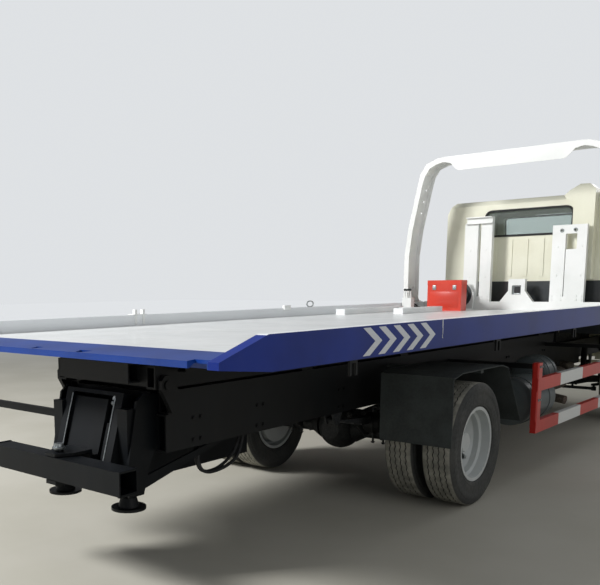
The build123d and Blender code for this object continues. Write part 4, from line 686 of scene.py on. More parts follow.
class Builder:
    """Gathers shapes with bmesh into one mesh in the row frame."""

    def __init__(self) -> None:
        """Start with an empty mesh."""
        self.bm = bmesh.new()

    def soften(self, edges: Iterable[bmesh.types.BMEdge], width: float) -> None:
        """Bevel edges, each taken once and in order.

        Args:
            edges: The edges, which may repeat.
            width: The bevel's width in metres, or 0 for sharp edges.
        """
        if width:
            bmesh.ops.bevel(self.bm, geom=list(dict.fromkeys(edges)), offset=width, segments=2,
                            affect="EDGES", profile=0.5)

    def block(self, x: Pair, y: Pair, z: Pair, bevel: float = 0.0) -> "Builder":
        """Add a block with softened edges.

        Args:
            x, y, z: Its low and high limits along each axis.
            bevel: The width of its edges' bevel, in metres.
        Returns:
            The builder itself.
        """
        size = (x[1] - x[0], y[1] - y[0], z[1] - z[0])
        middle = Vector(((x[0] + x[1]) / 2, (y[0] + y[1]) / 2, (z[0] + z[1]) / 2))
        matrix = Matrix.Translation(middle) @ Matrix.Diagonal((*size, 1))
        made = bmesh.ops.create_cube(self.bm, size=1, matrix=matrix)
        self.soften((e for v in made["verts"] for e in v.link_edges), bevel)
        return self

    def prism(self, outline: Sequence[Pair], axis: str, span: Pair, bevel: float = 0.0
              ) -> "Builder":
        """Add a plate from its outline.

        Args:
            outline: Corners in the two other axes, in alphabetical order of those axes.
            axis: The axis along the plate's thickness.
            span: Its low and high limits along that axis.
            bevel: The width of its edges' bevel.
        Returns:
            The builder itself.
        """
        def point(a: float, b: float, c: float) -> Point:
            """A corner, from its place in the outline and along the thickness."""
            return {"x": (c, a, b), "y": (a, c, b), "z": (a, b, c)}[axis]

        low = [self.bm.verts.new(point(a, b, span[0])) for a, b in outline]
        high = [self.bm.verts.new(point(a, b, span[1])) for a, b in outline]
        faces = [self.bm.faces.new(low), self.bm.faces.new(list(reversed(high)))]
        for i in range(len(outline)):
            j = (i + 1) % len(outline)
            faces.append(self.bm.faces.new((low[j], low[i], high[i], high[j])))
        bmesh.ops.recalc_face_normals(self.bm, faces=faces)
        self.soften((e for f in faces for e in f.edges), bevel)
        return self

    def lathe(self, profile: Sequence[Pair], centre: Point, along: Point, steps: int = 32
              ) -> "Builder":
        """Add a closed form turned about an axis.

        Args:
            profile: (distance along the axis, radius) points; a radius of 0 closes a pole.
            centre: A point on the axis, where the distance is 0.
            along: The axis's direction.
            steps: Divisions around.
        Returns:
            The builder itself.
        """
        turn = Vector(along).to_track_quat("Z", "Y").to_matrix().to_4x4()
        matrix = Matrix.Translation(Vector(centre)) @ turn
        rings = []
        for distance, radius in profile:
            if radius <= 0:
                rings.append([self.bm.verts.new(matrix @ Vector((0, 0, distance)))])
                continue
            rings.append([self.bm.verts.new(matrix @ Vector(
                (radius * cos(2 * pi * k / steps), radius * sin(2 * pi * k / steps), distance)))
                for k in range(steps)])
        closed = profile[0][1] > 0
        pairs = list(zip(rings, rings[1:])) + ([(rings[-1], rings[0])] if closed else [])
        faces = []
        for first, second in pairs:
            for k in range(steps):
                j = (k + 1) % steps
                corners = []
                for ring, index in ((first, k), (first, j), (second, j), (second, k)):
                    vert = ring[0] if len(ring) == 1 else ring[index]
                    if vert not in corners:
                        corners.append(vert)
                faces.append(self.bm.faces.new(corners))
        bmesh.ops.recalc_face_normals(self.bm, faces=faces)
        return self

    def rod(self, start: Point, end: Point, radius: float, steps: int = 16,
            bevel: float = 0.0015) -> "Builder":
        """Add a round bar with eased ends between two points.

        Args:
            start, end: The middles of its two ends.
            radius: Its radius.
            steps: Divisions around.
            bevel: How far its ends are eased, less on a thin or short bar.
        Returns:
            The builder itself.
        """
        way = Vector(end) - Vector(start)
        length = way.length
        ease = min(bevel, radius * 0.5, length * 0.4)
        profile = [(0, 0), (0, radius - ease), (ease, radius), (length - ease, radius),
                   (length, radius - ease), (length, 0)]
        return self.lathe(profile, start, tuple(way), steps)

    def bead(self, loop: Sequence[Point], out: Point, width: float, height: float
             ) -> "Builder":
        """Add a flat bar that runs around a closed loop.

        Args:
            loop: The loop's points, on the face that carries the bar.
            out: The way that the bar stands out from that face.
            width: The bar's width in the face, half to each side of the loop.
            height: How far it stands out; it sinks into the face by a fifth of that.
        Returns:
            The builder itself.
        """
        normal = Vector(out).normalized()
        points = [Vector(p) for p in loop]
        count = len(points)
        rings = []
        for i, point in enumerate(points):
            before = (point - points[i - 1]).normalized()
            after = (points[(i + 1) % count] - point).normalized()
            side = (before + after).normalized().cross(normal).normalized()
            reach = width / 2 / max(side.dot(after.cross(normal).normalized()), 0.4)
            low, high = -0.2 * height, height
            ring = [(-reach, low), (-reach, high * 0.7), (-reach * 0.7, high),
                    (reach * 0.7, high), (reach, high * 0.7), (reach, low)]
            rings.append([self.bm.verts.new(point + side * a + normal * b) for a, b in ring])
        faces = []
        for i in range(count):
            here, there = rings[i], rings[(i + 1) % count]
            for k in range(6):
                j = (k + 1) % 6
                faces.append(self.bm.faces.new((here[k], here[j], there[j], there[k])))
        bmesh.ops.recalc_face_normals(self.bm, faces=faces)
        return self

    def mirrored(self) -> "Builder":
        """Add the mirror image of everything so far on the truck's other side.

        Returns:
            The builder itself.
        """
        copy = bmesh.ops.duplicate(self.bm, geom=self.bm.verts[:] + self.bm.edges[:]
                                   + self.bm.faces[:])
        verts = [g for g in copy["geom"] if isinstance(g, bmesh.types.BMVert)]
        faces = [g for g in copy["geom"] if isinstance(g, bmesh.types.BMFace)]
        for vert in verts:
            vert.co.x = -vert.co.x
        bmesh.ops.reverse_faces(self.bm, faces=faces)
        return self

    def piece(self, name: str, material: Material, body: str,
              smooth: Optional[float] = 35) -> Piece:
        """Turn what was gathered into a piece that rides on a body.

        Args:
            name: The piece's name.
            material: Its finish.
            body: The CAD body that it moves with.
            smooth: Edges flatter than this many degrees are shaded smooth; None for flat.
        Returns:
            The piece.
        """
        mesh = bpy.data.meshes.new(name)
        self.bm.to_mesh(mesh)
        self.bm.free()
        return finish_mesh(name, mesh, material, body, smooth)


def plain_mesh(source: Piece, name: str) -> bpy.types.Mesh:
    """Turn an object with live modifiers or a curve into a plain mesh and remove it.

    Args:
        source: The object.
        name: The mesh's name.
    Returns:
        The mesh, with the object's place in its vertices.
    """
    bpy.context.view_layer.update()
    graph = bpy.context.evaluated_depsgraph_get()
    mesh = bpy.data.meshes.new_from_object(source.evaluated_get(graph))
    mesh.name = name
    mesh.transform(source.matrix_world)
    bpy.data.objects.remove(source)
    return mesh


def hose(name: str, points: Sequence[Point], radius: float, material: Material,
         body: str) -> Piece:
    """A fixed hose or pipe with round ends, on a smooth line that its points draw.

    Args:
        name: The piece's name.
        points: Control points; the hose starts and ends on the first and the last.
        radius: The hose's radius.
        material: Its finish.
        body: The body that carries it.
    Returns:
        The piece.
    """
    curve = bpy.data.curves.new(name, "CURVE")
    curve.dimensions = "3D"
    curve.bevel_depth = radius
    curve.bevel_resolution = 3
    curve.use_fill_caps = True
    spline = curve.splines.new("NURBS")
    spline.points.add(len(points) - 1)
    for control, place in zip(spline.points, points):
        control.co = (*place, 1)
    spline.order_u = 3
    spline.use_endpoint_u = True
    spline.resolution_u = 10
    return finish_mesh(name, plain_mesh(new_object(name, curve), name), material, body, 60)


# Geometry Nodes trees

class FittingTree:
    """A node tree with named sizes, whose result is kept as one plain piece."""

    def __init__(self, name: str, sizes: Sequence[str], on_points: bool) -> None:
        """Start the tree with its inputs.

        Args:
            name: The tree's name.
            sizes: The names of its lengths and numbers.
            on_points: True where the tree works on the points of its object.
        """
        self.tree = bpy.data.node_groups.new(name, "GeometryNodeTree")
        face = self.tree.interface
        if on_points:
            face.new_socket("Geometry", in_out="INPUT", socket_type="NodeSocketGeometry")
        for size in sizes:
            face.new_socket(size, in_out="INPUT", socket_type="NodeSocketFloat")
        face.new_socket("Material", in_out="INPUT", socket_type="NodeSocketMaterial")
        face.new_socket("Geometry", in_out="OUTPUT", socket_type="NodeSocketGeometry")
        self.given = add_node(self.tree, "NodeGroupInput").outputs

    def close(self, made: Socket) -> None:
        """End the tree with Realize Instances and Set Material.

        Args:
            made: The geometry that the tree has made.
        """
        solid = add_node(self.tree, "GeometryNodeRealizeInstances", {"Geometry": made})
        dressed = add_node(self.tree, "GeometryNodeSetMaterial",
                           {"Geometry": solid.outputs[0], "Material": self.given["Material"]})
        add_node(self.tree, "NodeGroupOutput", {0: dressed.outputs[0]})

    def run(self, source: Piece, name: str, values: dict[str, object], body: str,
            smooth: float) -> Piece:
        """Run the tree on an object and keep the result in its place.

        Args:
            source: The object, which the piece takes the place of.
            name: The piece's name.
            values: The tree's inputs by name, its material among them.
            body: The CAD body that the piece moves with.
            smooth: Edges flatter than this many degrees are shaded smooth.
        Returns:
            The piece.
        """
        modifier = source.modifiers.new(self.tree.name, "NODES")
        modifier.node_group = self.tree
        for item in self.tree.interface.items_tree:
            if item.in_out == "INPUT" and item.name in values:
                modifier[item.identifier] = values[item.name]
        return finish_mesh(name, plain_mesh(source, name), values["Material"], body, smooth)


class FastenerTree(FittingTree):
    """Sets a hexagon bolt head with its washer on every point.

    The points carry an attribute named "axis", the way that the head looks out.
    """

    def __init__(self) -> None:
        """Build the tree with its named sizes."""
        super().__init__("bolt_heads", ("Head Radius", "Head Height", "Washer Radius"), True)
        given = self.given
        both = add_node(self.tree, "GeometryNodeJoinGeometry")
        for part in (self.prism(6, given["Head Radius"], given["Head Height"]),
                     self.prism(16, given["Washer Radius"],
                                self.scaled(given["Head Height"], 0.25))):
            self.tree.links.new(part, both.inputs[0])
        axis = add_node(self.tree, "GeometryNodeInputNamedAttribute", {"Name": "axis"},
                        data_type="FLOAT_VECTOR")
        turn = add_node(self.tree, "FunctionNodeAlignRotationToVector",
                        {"Vector": axis.outputs["Attribute"]}, axis="Z")
        spread = add_node(self.tree, "GeometryNodeInstanceOnPoints",
                          {"Points": given["Geometry"], "Instance": both.outputs[0],
                           "Rotation": turn.outputs[0]})
        self.close(spread.outputs[0])

    def scaled(self, socket: Socket, factor: float) -> Socket:
        """A length times a plain factor."""
        return add_node(self.tree, "ShaderNodeMath", {0: socket, 1: factor},
                        operation="MULTIPLY").outputs[0]

    def prism(self, sides: int, radius: Socket, height: Socket) -> Socket:
        """A prism with the given sides that stands on the point.

        Args:
            sides: How many sides it has.
            radius: Its corners' radius.
            height: Its height.
        Returns:
            The prism's geometry.
        """
        form = add_node(self.tree, "GeometryNodeMeshCylinder",
                        {"Vertices": sides, "Radius": radius, "Depth": height})
        offset = add_node(self.tree, "ShaderNodeCombineXYZ", {"Z": self.scaled(height, 0.5)})
        return add_node(self.tree, "GeometryNodeTransform",
                        {"Geometry": form.outputs["Mesh"],
                         "Translation": offset.outputs[0]}).outputs[0]

    def apply(self, name: str, places: Iterable[Place], radius: float, material: Material,
              body: str) -> Piece:
        """Set heads on (place, axis) pairs and return them as one plain piece.

        Args:
            name: The piece's name.
            places: Points in the row frame, each with the way its head looks out.
            radius: The hexagon's corner radius.
            material: The heads' finish.
            body: The body that carries them.
        Returns:
            The piece.
        """
        places = list(places)
        mesh = bpy.data.meshes.new(name)
        mesh.from_pydata([p for p, _ in places], [], [])
        axis = mesh.attributes.new("axis", "FLOAT_VECTOR", "POINT")
        axis.data.foreach_set("vector", [c for _, a in places for c in a])
        values = {"Head Radius": radius, "Head Height": radius * 0.75,
                  "Washer Radius": radius * 1.3, "Material": material}
        return self.run(new_object(name, mesh), name, values, body, 25)


class RopeWinding(FittingTree):
    """Winds a round rope on a drum as one tight helix."""

    def __init__(self) -> None:
        """Build the tree with its named sizes."""
        super().__init__("rope_winding", ("Turns", "Drum Radius", "Width", "Rope Radius"), False)
        given = self.given
        helix = add_node(self.tree, "GeometryNodeCurveSpiral",
                         {"Resolution": 24, "Rotations": given["Turns"],
                          "Start Radius": given["Drum Radius"],
                          "End Radius": given["Drum Radius"], "Height": given["Width"]})
        section = add_node(self.tree, "GeometryNodeCurvePrimitiveCircle",
                           {"Resolution": 6, "Radius": given["Rope Radius"]})
        rope = add_node(self.tree, "GeometryNodeCurveToMesh",
                        {"Fill Caps": True, "Curve": helix.outputs[0],
                         "Profile Curve": section.outputs[0]})
        self.close(rope.outputs[0])

    def apply(self, name: str, centre: Point, radius: float, width: float, rope: float,
              material: Material, body: str) -> Piece:
        """Wind a rope around an axis along the truck.

        Args:
            name: The piece's name.
            centre: The front end of the winding, on the axis.
            radius: The drum's radius.
            width: The winding's length along the axis.
            rope: The rope's radius.
            material: The rope's finish.
            body: The body that carries the drum.
        Returns:
            The piece.
        """
        source = new_object(name, bpy.data.meshes.new(name))
        source.matrix_world = (Matrix.Translation(Vector(centre))
                               @ Matrix.Rotation(radians(-90), 4, "X"))
        values = {"Turns": width / (2 * rope), "Drum Radius": radius + rope,
                  "Width": width, "Rope Radius": rope * 0.98, "Material": material}
        return self.run(source, name, values, body, 60)


# Places

def row(first: Point, last: Point, count: int, axis: Point) -> list[Place]:
    """Evenly spaced fastener places on a straight line.

    Args:
        first, last: The line's ends.
        count: How many places, ends included.
        axis: The way that the heads look out.
    Returns:
        The places.
    """
    a, b = Vector(first), Vector(last)
    steps = max(count - 1, 1)
    return [(tuple(a.lerp(b, i / steps)), axis) for i in range(count)]


def ring_of(centre: Point, radius: float, count: int, axis: Point, start: float) -> list[Place]:
    """Fastener places on a circle in a plane across the truck's width.

    Args:
        centre: The circle's middle.
        radius: The circle's radius.
        count: How many places.
        axis: The way that the heads look out.
        start: The first place's angle in radians, from the tail's direction upwards.
    Returns:
        The places.
    """
    x, y, z = centre
    return [((x, y + radius * cos(start + 2 * pi * i / count),
              z + radius * sin(start + 2 * pi * i / count)), axis) for i in range(count)]


def flipped(places: Iterable[Place]) -> list[Place]:
    """The same fastener places on the truck's other side."""
    return [((-p[0], p[1], p[2]), (-a[0], a[1], a[2])) for p, a in places]


def both_sides(places: list[Place]) -> list[Place]:
    """Fastener places on the left side and on the right."""
    return places + flipped(places)


def around(middle: float, width: float) -> Pair:
    """The limits of a width that is centred on a place."""
    return middle - width / 2, middle + width / 2


# Sub-assemblies

@dataclass
class PlainNodes:
    """The CAD nodes whose shape stays, each with its finish."""

    finishes: Finishes

    def table(self) -> dict[str, Material]:
        """The finish of every node.

        Returns:
            Materials by node name.
        """
        f = self.finishes
        groups = (
            (f.chassis, ("chassis_frame", "subframe", "tilt_frame", "bed_frame", "battery_box")),
            (f.lift, ("underlift_column", "underlift_carriage", "underlift_boom", "crossbar",
                      "support_feet", "tilt_barrels")),
            (f.cast, ("engine_and_driveline", "axles", "knuckle_left", "knuckle_right",
                      "tie_rod")),
            (f.spring, ("leaf_springs",)),
            (f.tank, ("tanks",)),
            (f.guard, ("side_guards",)),
            (f.flap, ("mudguards",)),
            (f.muffler, ("exhaust",)),
            (f.chrome, ("lift_rod", "tilt_rods")),
            (f.back_wall, ("cab_rear_wall",)),
            (f.cab, ("cab_floor", "cab_roof", "cab_front", "cab_sides",
                     "intake_duct", "door_left", "door_right", "front_bumper")),
            (f.glass, ("cab_glass", "door_glass_left", "door_glass_right")),
            (f.cloth, ("seats",)),
            (f.trim, ("dashboard",)),
            (f.plastic, ("steering_wheel", "mirrors")),
            (f.rim, ("front_rim_left", "front_rim_right", "rear_rims_left", "rear_rims_right")),
            (f.rubber, ("front_tyre_left", "front_tyre_right", "rear_tyres_left",
                        "rear_tyres_right")),
            (f.deck, ("bed_deck", "lift_forks")),
            (f.hoop, ("hoop_legs", "hoop_crown", "head_posts", "winch_frame")),
            (f.rail, ("bed_rails",)),
            (f.tail, ("tail_plate",)),
            (f.winch, ("winch_drum",)),
            (f.box, ("tool_box",)),
            (f.clear_lens, ("lamps",)),
        )
        return {node: material for material, nodes in groups for node in nodes}

    def dress(self) -> None:
        """Give each node its material."""
        for node, material in self.table().items():
            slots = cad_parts[node].data.materials
            slots.clear()
            slots.append(material)


@dataclass
class Assembly:
    """What every sub-assembly is given: the finishes and the tree that sets bolts."""

    finishes: Finishes
    bolts: FastenerTree


@dataclass
class RoadTyre:
    """One ribbed road tyre, built as rings of its profile around the axle."""

    radius: float = 0.4275
    width: float = 0.225
    bead_radius: float = 0.248
    crown_drop: float = 0.0035
    groove_depth: float = 0.011
    groove_width: float = 0.009
    groove_floor: float = 0.55
    grooves: tuple[float, ...] = (-0.058, -0.019, 0.019, 0.058)
    zigzag: float = 0.004
    waves: int = 56
    steps_per_wave: int = 4

    def sidewall(self) -> list[Pair]:
        """The outer wall from the bead to the tread's shoulder.

        Returns:
            Points as (along the axle, radius), on the side of the negative end.
        """
        w, r, bead = self.width / 2, self.radius, self.bead_radius
        return [(-w + 0.0223, bead), (-w + 0.0223, bead + 0.014), (-w + 0.010, bead + 0.020),
                (-w + 0.004, bead + 0.042), (-w + 0.0055, bead + 0.044),
                (-w + 0.001, bead + 0.087), (-w + 0.0025, bead + 0.104),
                (-w + 0.001, bead + 0.107), (-w + 0.004, r - 0.042), (-w + 0.0065, r - 0.040),
                (-w + 0.008, r - 0.024), (-w + 0.014, r - 0.010), (-w + 0.022, r - 0.003)]

    def profile(self, shift: float) -> list[Pair]:
        """The tyre's closed section.

        Args:
            shift: How far the zigzag moves the grooves at this place.
        Returns:
            Points as (along the axle, radius).
        """
        w, r, bead = self.width / 2, self.radius, self.bead_radius
        tread = []
        half, floor = self.groove_width / 2, self.groove_width / 2 * self.groove_floor
        for middle in self.grooves:
            at = middle + shift
            crown = r - self.crown_drop * (abs(at) / w) ** 2
            tread += [(at - half, crown), (at - floor, crown - self.groove_depth),
                      (at + floor, crown - self.groove_depth), (at + half, crown)]
        side = self.sidewall()
        inner = [(w - 0.030, bead), (w - 0.026, bead + 0.082), (w - 0.036, r - 0.034)]
        return (side + tread + [(-x, z) for x, z in reversed(side)]
                + inner + [(-x, z) for x, z in reversed(inner)])

    def add_to(self, builder: Builder, x: float, y: float, z: float) -> None:
        """Add the tyre around a point on the axle.

        Args:
            builder: The builder that gathers the wheel's tyres.
            x, y, z: The tyre's middle.
        """
        bm = builder.bm
        steps = self.waves * self.steps_per_wave
        rings = []
        for k in range(steps):
            phase = (k % self.steps_per_wave) / self.steps_per_wave
            shift = self.zigzag * (1 - 4 * abs(phase - 0.5))
            angle = 2 * pi * k / steps
            rings.append([bm.verts.new((x + a, y + r * cos(angle), z + r * sin(angle)))
                          for a, r in self.profile(shift)])
        count = len(rings[0])
        for k in range(steps):
            here, there = rings[k], rings[(k + 1) % steps]
            for i in range(count):
                j = (i + 1) % count
                bm.faces.new((here[i], here[j], there[j], there[i]))


@dataclass
class Wheels(Assembly):
    """Tyres with their tread, and the nuts on the rims."""

    axle_z: float = 0.4275
    rear_y: float = 1.45
    front_y: float = -3.0
    rear_x: Pair = (0.7125, 0.9875)
    front_x: float = 0.8825
    rear_disc: float = 0.887
    front_disc: float = 0.999
    nut_circle: float = 0.1125
    nut_radius: float = 0.019

    def build(self) -> None:
        """Build every wheel's pieces."""
        rubber = {y: self.finishes.by_tyre(y) for y in (self.rear_y, self.front_y)}
        for side, sign in SIDES:
            for place, xs, y, disc, body, node in (
                    ("rear", self.rear_x, self.rear_y, self.rear_disc,
                     f"rear_wheels_{side}", f"rear_tyres_{side}"),
                    ("front", (self.front_x,), self.front_y, self.front_disc,
                     f"front_wheel_{side}", f"front_tyre_{side}")):
                builder = Builder()
                for x in xs:
                    RoadTyre().add_to(builder, sign * x, y, self.axle_z)
                bmesh.ops.recalc_face_normals(builder.bm, faces=builder.bm.faces)
                piece = builder.piece(f"{place}_tread_{side}", rubber[y], body, 40)
                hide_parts(node)
                nuts = ring_of((sign * disc, y, self.axle_z), self.nut_circle, 8,
                               (sign, 0, 0), 0.2)
                self.bolts.apply(f"{place}_wheel_nuts_{side}", nuts, self.nut_radius,
                                 self.finishes.zinc, body)


@dataclass
class Bed(Assembly):
    """Reflective arrows on the bed's side rails, and thin white streaks down the right one."""

    half: float = 1.150
    rail_low: float = 1.145
    rail_top: float = 1.312
    arrow_count: int = 5
    arrow_first: float = 3.12
    arrow_pitch: float = 0.158
    arrow_width: float = 0.072
    arrow_reach: float = 0.125
    film: Pair = (-0.0002, 0.0006)
    streak_film: Pair = (-0.0012, 0.0002)
    streak_places: tuple[tuple[float, float, float, float], ...] = (  # place, low end, top, half width
        (2.197, 1.262, 1.311, 0.004), (2.194, 1.206, 1.264, 0.0028),
        (2.1955, 1.200, 1.225, 0.0045))

    def build(self) -> None:
        """Build the bed's pieces."""
        self.arrows()
        self.white_streaks()

    def arrows(self) -> None:
        """Reflective arrows on each side rail, pointing to the cab."""
        builder = Builder()
        low, high = self.rail_low + 0.012, self.rail_top - 0.010
        middle = (low + high) / 2
        for i in range(self.arrow_count):
            y = self.arrow_first - i * self.arrow_pitch
            tail = y - self.arrow_width
            outline = [(y, low), (y - self.arrow_reach, middle), (y, high),
                       (tail, high), (tail - self.arrow_reach, middle), (tail, low)]
            builder.prism(outline, "x", (self.half + self.film[0], self.half + self.film[1]))
        builder.mirrored().piece("rail_arrows", self.finishes.mark, "bed", None)

    def white_streaks(self) -> None:
        """Thin white streaks down the right rail's outer face, from its top edge."""
        run = Builder()
        # Thin white strips laid on the blue outer face of the right rail.
        for y, low, top, half in self.streak_places:
            corners = [(y - half, low), (y + half, low), (y + half, top), (y - half, top)]
            run.prism(rounded(corners, half * 0.9, 3), "x",
                      (-self.half + self.streak_film[0], -self.half + self.streak_film[1]))
        run.piece("rail_white_streaks", self.finishes.deck, "bed")


@dataclass
class Hoop(Assembly):
    """Bolts and gussets at the feet of the hoop across the bed."""

    y: Pair = (-2.020, -1.740)
    foot_z: float = 1.322
    bolt_x: float = 1.060
    bolt_insets: Pair = (0.035, 0.105)
    bolt_radius: float = 0.012
    gusset: tuple[Pair, ...] = ((1.046, 1.3225), (1.139, 1.3225), (1.139, 1.50), (1.128, 1.50))
    gusset_inset: float = 0.07
    gusset_thick: float = 0.008

    def build(self) -> None:
        """Build the hoop's pieces."""
        front, rear = self.y
        near, far = self.bolt_insets
        places = [((self.bolt_x, y, self.foot_z), (0, 0, 1))
                  for y in (front + near, front + far, rear - far, rear - near)]
        self.bolts.apply("hoop_foot_bolts", both_sides(places), self.bolt_radius,
                         self.finishes.zinc, "bed")
        gussets = Builder()
        for y in (front + self.gusset_inset, rear - self.gusset_inset):
            gussets.prism(self.gusset, "y", around(y, self.gusset_thick), 0.001)
        gussets.mirrored().piece("hoop_gussets", self.finishes.hoop, "bed")


@dataclass
class Headboard(Assembly):
    """Bolts, bushes, channel flanges and a rope guide on the posts behind the cab."""

    rear: float = -2.160
    bolt_radius: float = 0.009
    foot_bolts_x: tuple[float, ...] = (0.335, 0.405, 0.495, 0.592, -0.363, -0.455, -0.610,
                                       -0.663)
    foot_bolts_z: Pair = (1.345, 1.385)
    upper_bolts_x: tuple[float, ...] = (0.37, 0.55, -0.40, -0.64)
    upper_bolts_z: Pair = (1.6, 1.9)
    bushes: tuple[Pair, ...] = ((-0.435, 2.069), (-0.569, 2.072))
    bush_section: tuple[Pair, ...] = ((-0.066, 0.0135), (-0.066, 0.021), (0.004, 0.021),
                                      (0.008, 0.018), (0.008, 0.0135))
    flange_x: Pair = (0.304, 0.604)
    flange_reach: float = 0.032
    flanges_z: tuple[Pair, ...] = ((2.191, 2.201), (2.257, 2.267))
    guide_inset: float = 0.03
    rollers: tuple[tuple[Pair, Pair, float], ...] = (  # ends as (x, z), and the radius
        ((-0.045, 1.408), (0.065, 1.408), 0.007), ((-0.045, 1.492), (0.065, 1.492), 0.007),
        ((-0.030, 1.410), (-0.030, 1.490), 0.008), ((0.050, 1.410), (0.050, 1.490), 0.008))

    def build(self) -> None:
        """Build the posts' pieces."""
        places = []
        low, high = self.foot_bolts_z
        for x in self.foot_bolts_x:
            places += row((x, self.rear, low), (x, self.rear, high), 2, (0, 1, 0))
        places += [((x, self.rear, z), (0, 1, 0))
                   for z in self.upper_bolts_z for x in self.upper_bolts_x]
        self.bolts.apply("post_bolts", places, self.bolt_radius, self.finishes.hoop, "bed")
        bushes, flanges, guide = Builder(), Builder(), Builder()
        for x, z in self.bushes:
            bushes.lathe(self.bush_section, (x, self.rear, z), (0, 1, 0), 24)
        bushes.piece("post_bushes", self.finishes.zinc, "bed")
        for span in self.flanges_z:
            flanges.block(self.flange_x, (self.rear, self.rear + self.flange_reach), span, 0.002)
        flanges.piece("post_channel_flanges", self.finishes.hoop, "bed")
        y = self.rear - self.guide_inset
        for (x0, z0), (x1, z1), radius in self.rollers:
            guide.rod((x0, y, z0), (x1, y, z1), radius)
        guide.piece("rope_guide_rollers", self.finishes.zinc, "bed")


@dataclass
class Winch(Assembly):
    """Rope, bolts, valve knobs and hoses on the winch behind the posts."""

    x: float = 0.620
    z: float = 1.400
    y: Pair = (-2.075, -1.780)
    drum_radius: float = 0.100
    flange_thick: float = 0.022
    rope_radius: float = 0.006
    bolts_x: Pair = (0.485, 0.755)
    bolts_z: Pair = (1.26, 1.40)
    bolts_out: float = 0.014
    knob_foot: Point = (0.985, -1.590, 1.448)
    knob_pitch: float = 0.023
    knob_section: tuple[Pair, ...] = ((0, 0), (0.002, 0.009), (0.012, 0.0125), (0.022, 0.010),
                                      (0.026, 0))
    ports: tuple[float, ...] = (0.985, 1.010, 1.035, 1.058)
    hose_radius: float = 0.008

    def build(self) -> None:
        """Build the winch's pieces."""
        front, rear = self.y
        RopeWinding().apply("winch_rope", (self.x, front + self.flange_thick, self.z),
                            self.drum_radius, rear - front - 2 * self.flange_thick,
                            self.rope_radius, self.finishes.rope, "winch_drum")
        places = []
        low, high = self.bolts_z
        for x in self.bolts_x:
            for y, way in ((rear + self.bolts_out, 1), (front - self.bolts_out, -1)):
                places += row((x, y, low), (x, y, high), 3, (0, way, 0))
        self.bolts.apply("winch_bolts", places, 0.010, self.finishes.zinc, "bed")
        knobs = Builder()
        x, y, z = self.knob_foot
        for i in range(len(self.ports)):
            knobs.lathe(self.knob_section, (x + self.knob_pitch * i, y, z), (0, 0.2, 1), 16)
        knobs.piece("valve_knobs", self.finishes.plastic, "bed")
        for i, port in enumerate(self.ports):
            hose(f"valve_hose_{i}", self.hose_path(i, port), self.hose_radius,
                 self.finishes.rubber, "bed")

    @staticmethod
    def hose_path(i: int, port: float) -> list[Point]:
        """One hose's way from its port on the valve down to the deck and to the front.

        Args:
            i: Which hose it is, counted from the middle of the truck.
            port: Its port's place across the truck.
        Returns:
            The hose's control points.
        """
        z = 1.30 - 0.012 * i
        return [(port, -1.650, z), (port, -1.705, z), (port - 0.03, -1.735, 1.262),
                (port - 0.09, -1.80 - 0.02 * i, 1.245), (0.86 - 0.03 * i, -1.95, 1.242),
                (0.84 - 0.03 * i, -2.10, 1.242)]


@dataclass
class ToolBox(Assembly):
    """Latches and panels on the red box."""

    x: Pair = (0.371, 0.760)
    y: Pair = (-1.685, -1.550)
    low: float = 1.230
    seam: float = 1.513
    latches_x: Pair = (0.45, 0.68)
    panel_inset: float = 0.035
    panel_thick: float = 0.003

    def build(self) -> None:
        """Build the box's pieces."""
        front, rear = self.y
        latches = Builder()
        for x in self.latches_x:
            latches.block(around(x, 0.04), (rear - 0.002, rear + 0.006),
                          (self.seam - 0.055, self.seam - 0.004), 0.002)
            y, z = rear + 0.008, self.seam - 0.028
            latches.rod((x - 0.014, y, z), (x + 0.014, y, z), 0.004)
        latches.piece("box_latches", self.finishes.zinc, "bed")
        panels = Builder()
        wide = (self.x[0] + self.panel_inset, self.x[1] - self.panel_inset)
        panels.block(wide, (rear, rear + self.panel_thick),
                     (self.low + 0.035, self.seam - 0.075), 0.0015)
        panels.block(wide, (front - self.panel_thick, front),
                     (self.low + 0.03, self.seam - 0.03), 0.0015)
        panels.piece("box_panels", self.finishes.box, "bed")


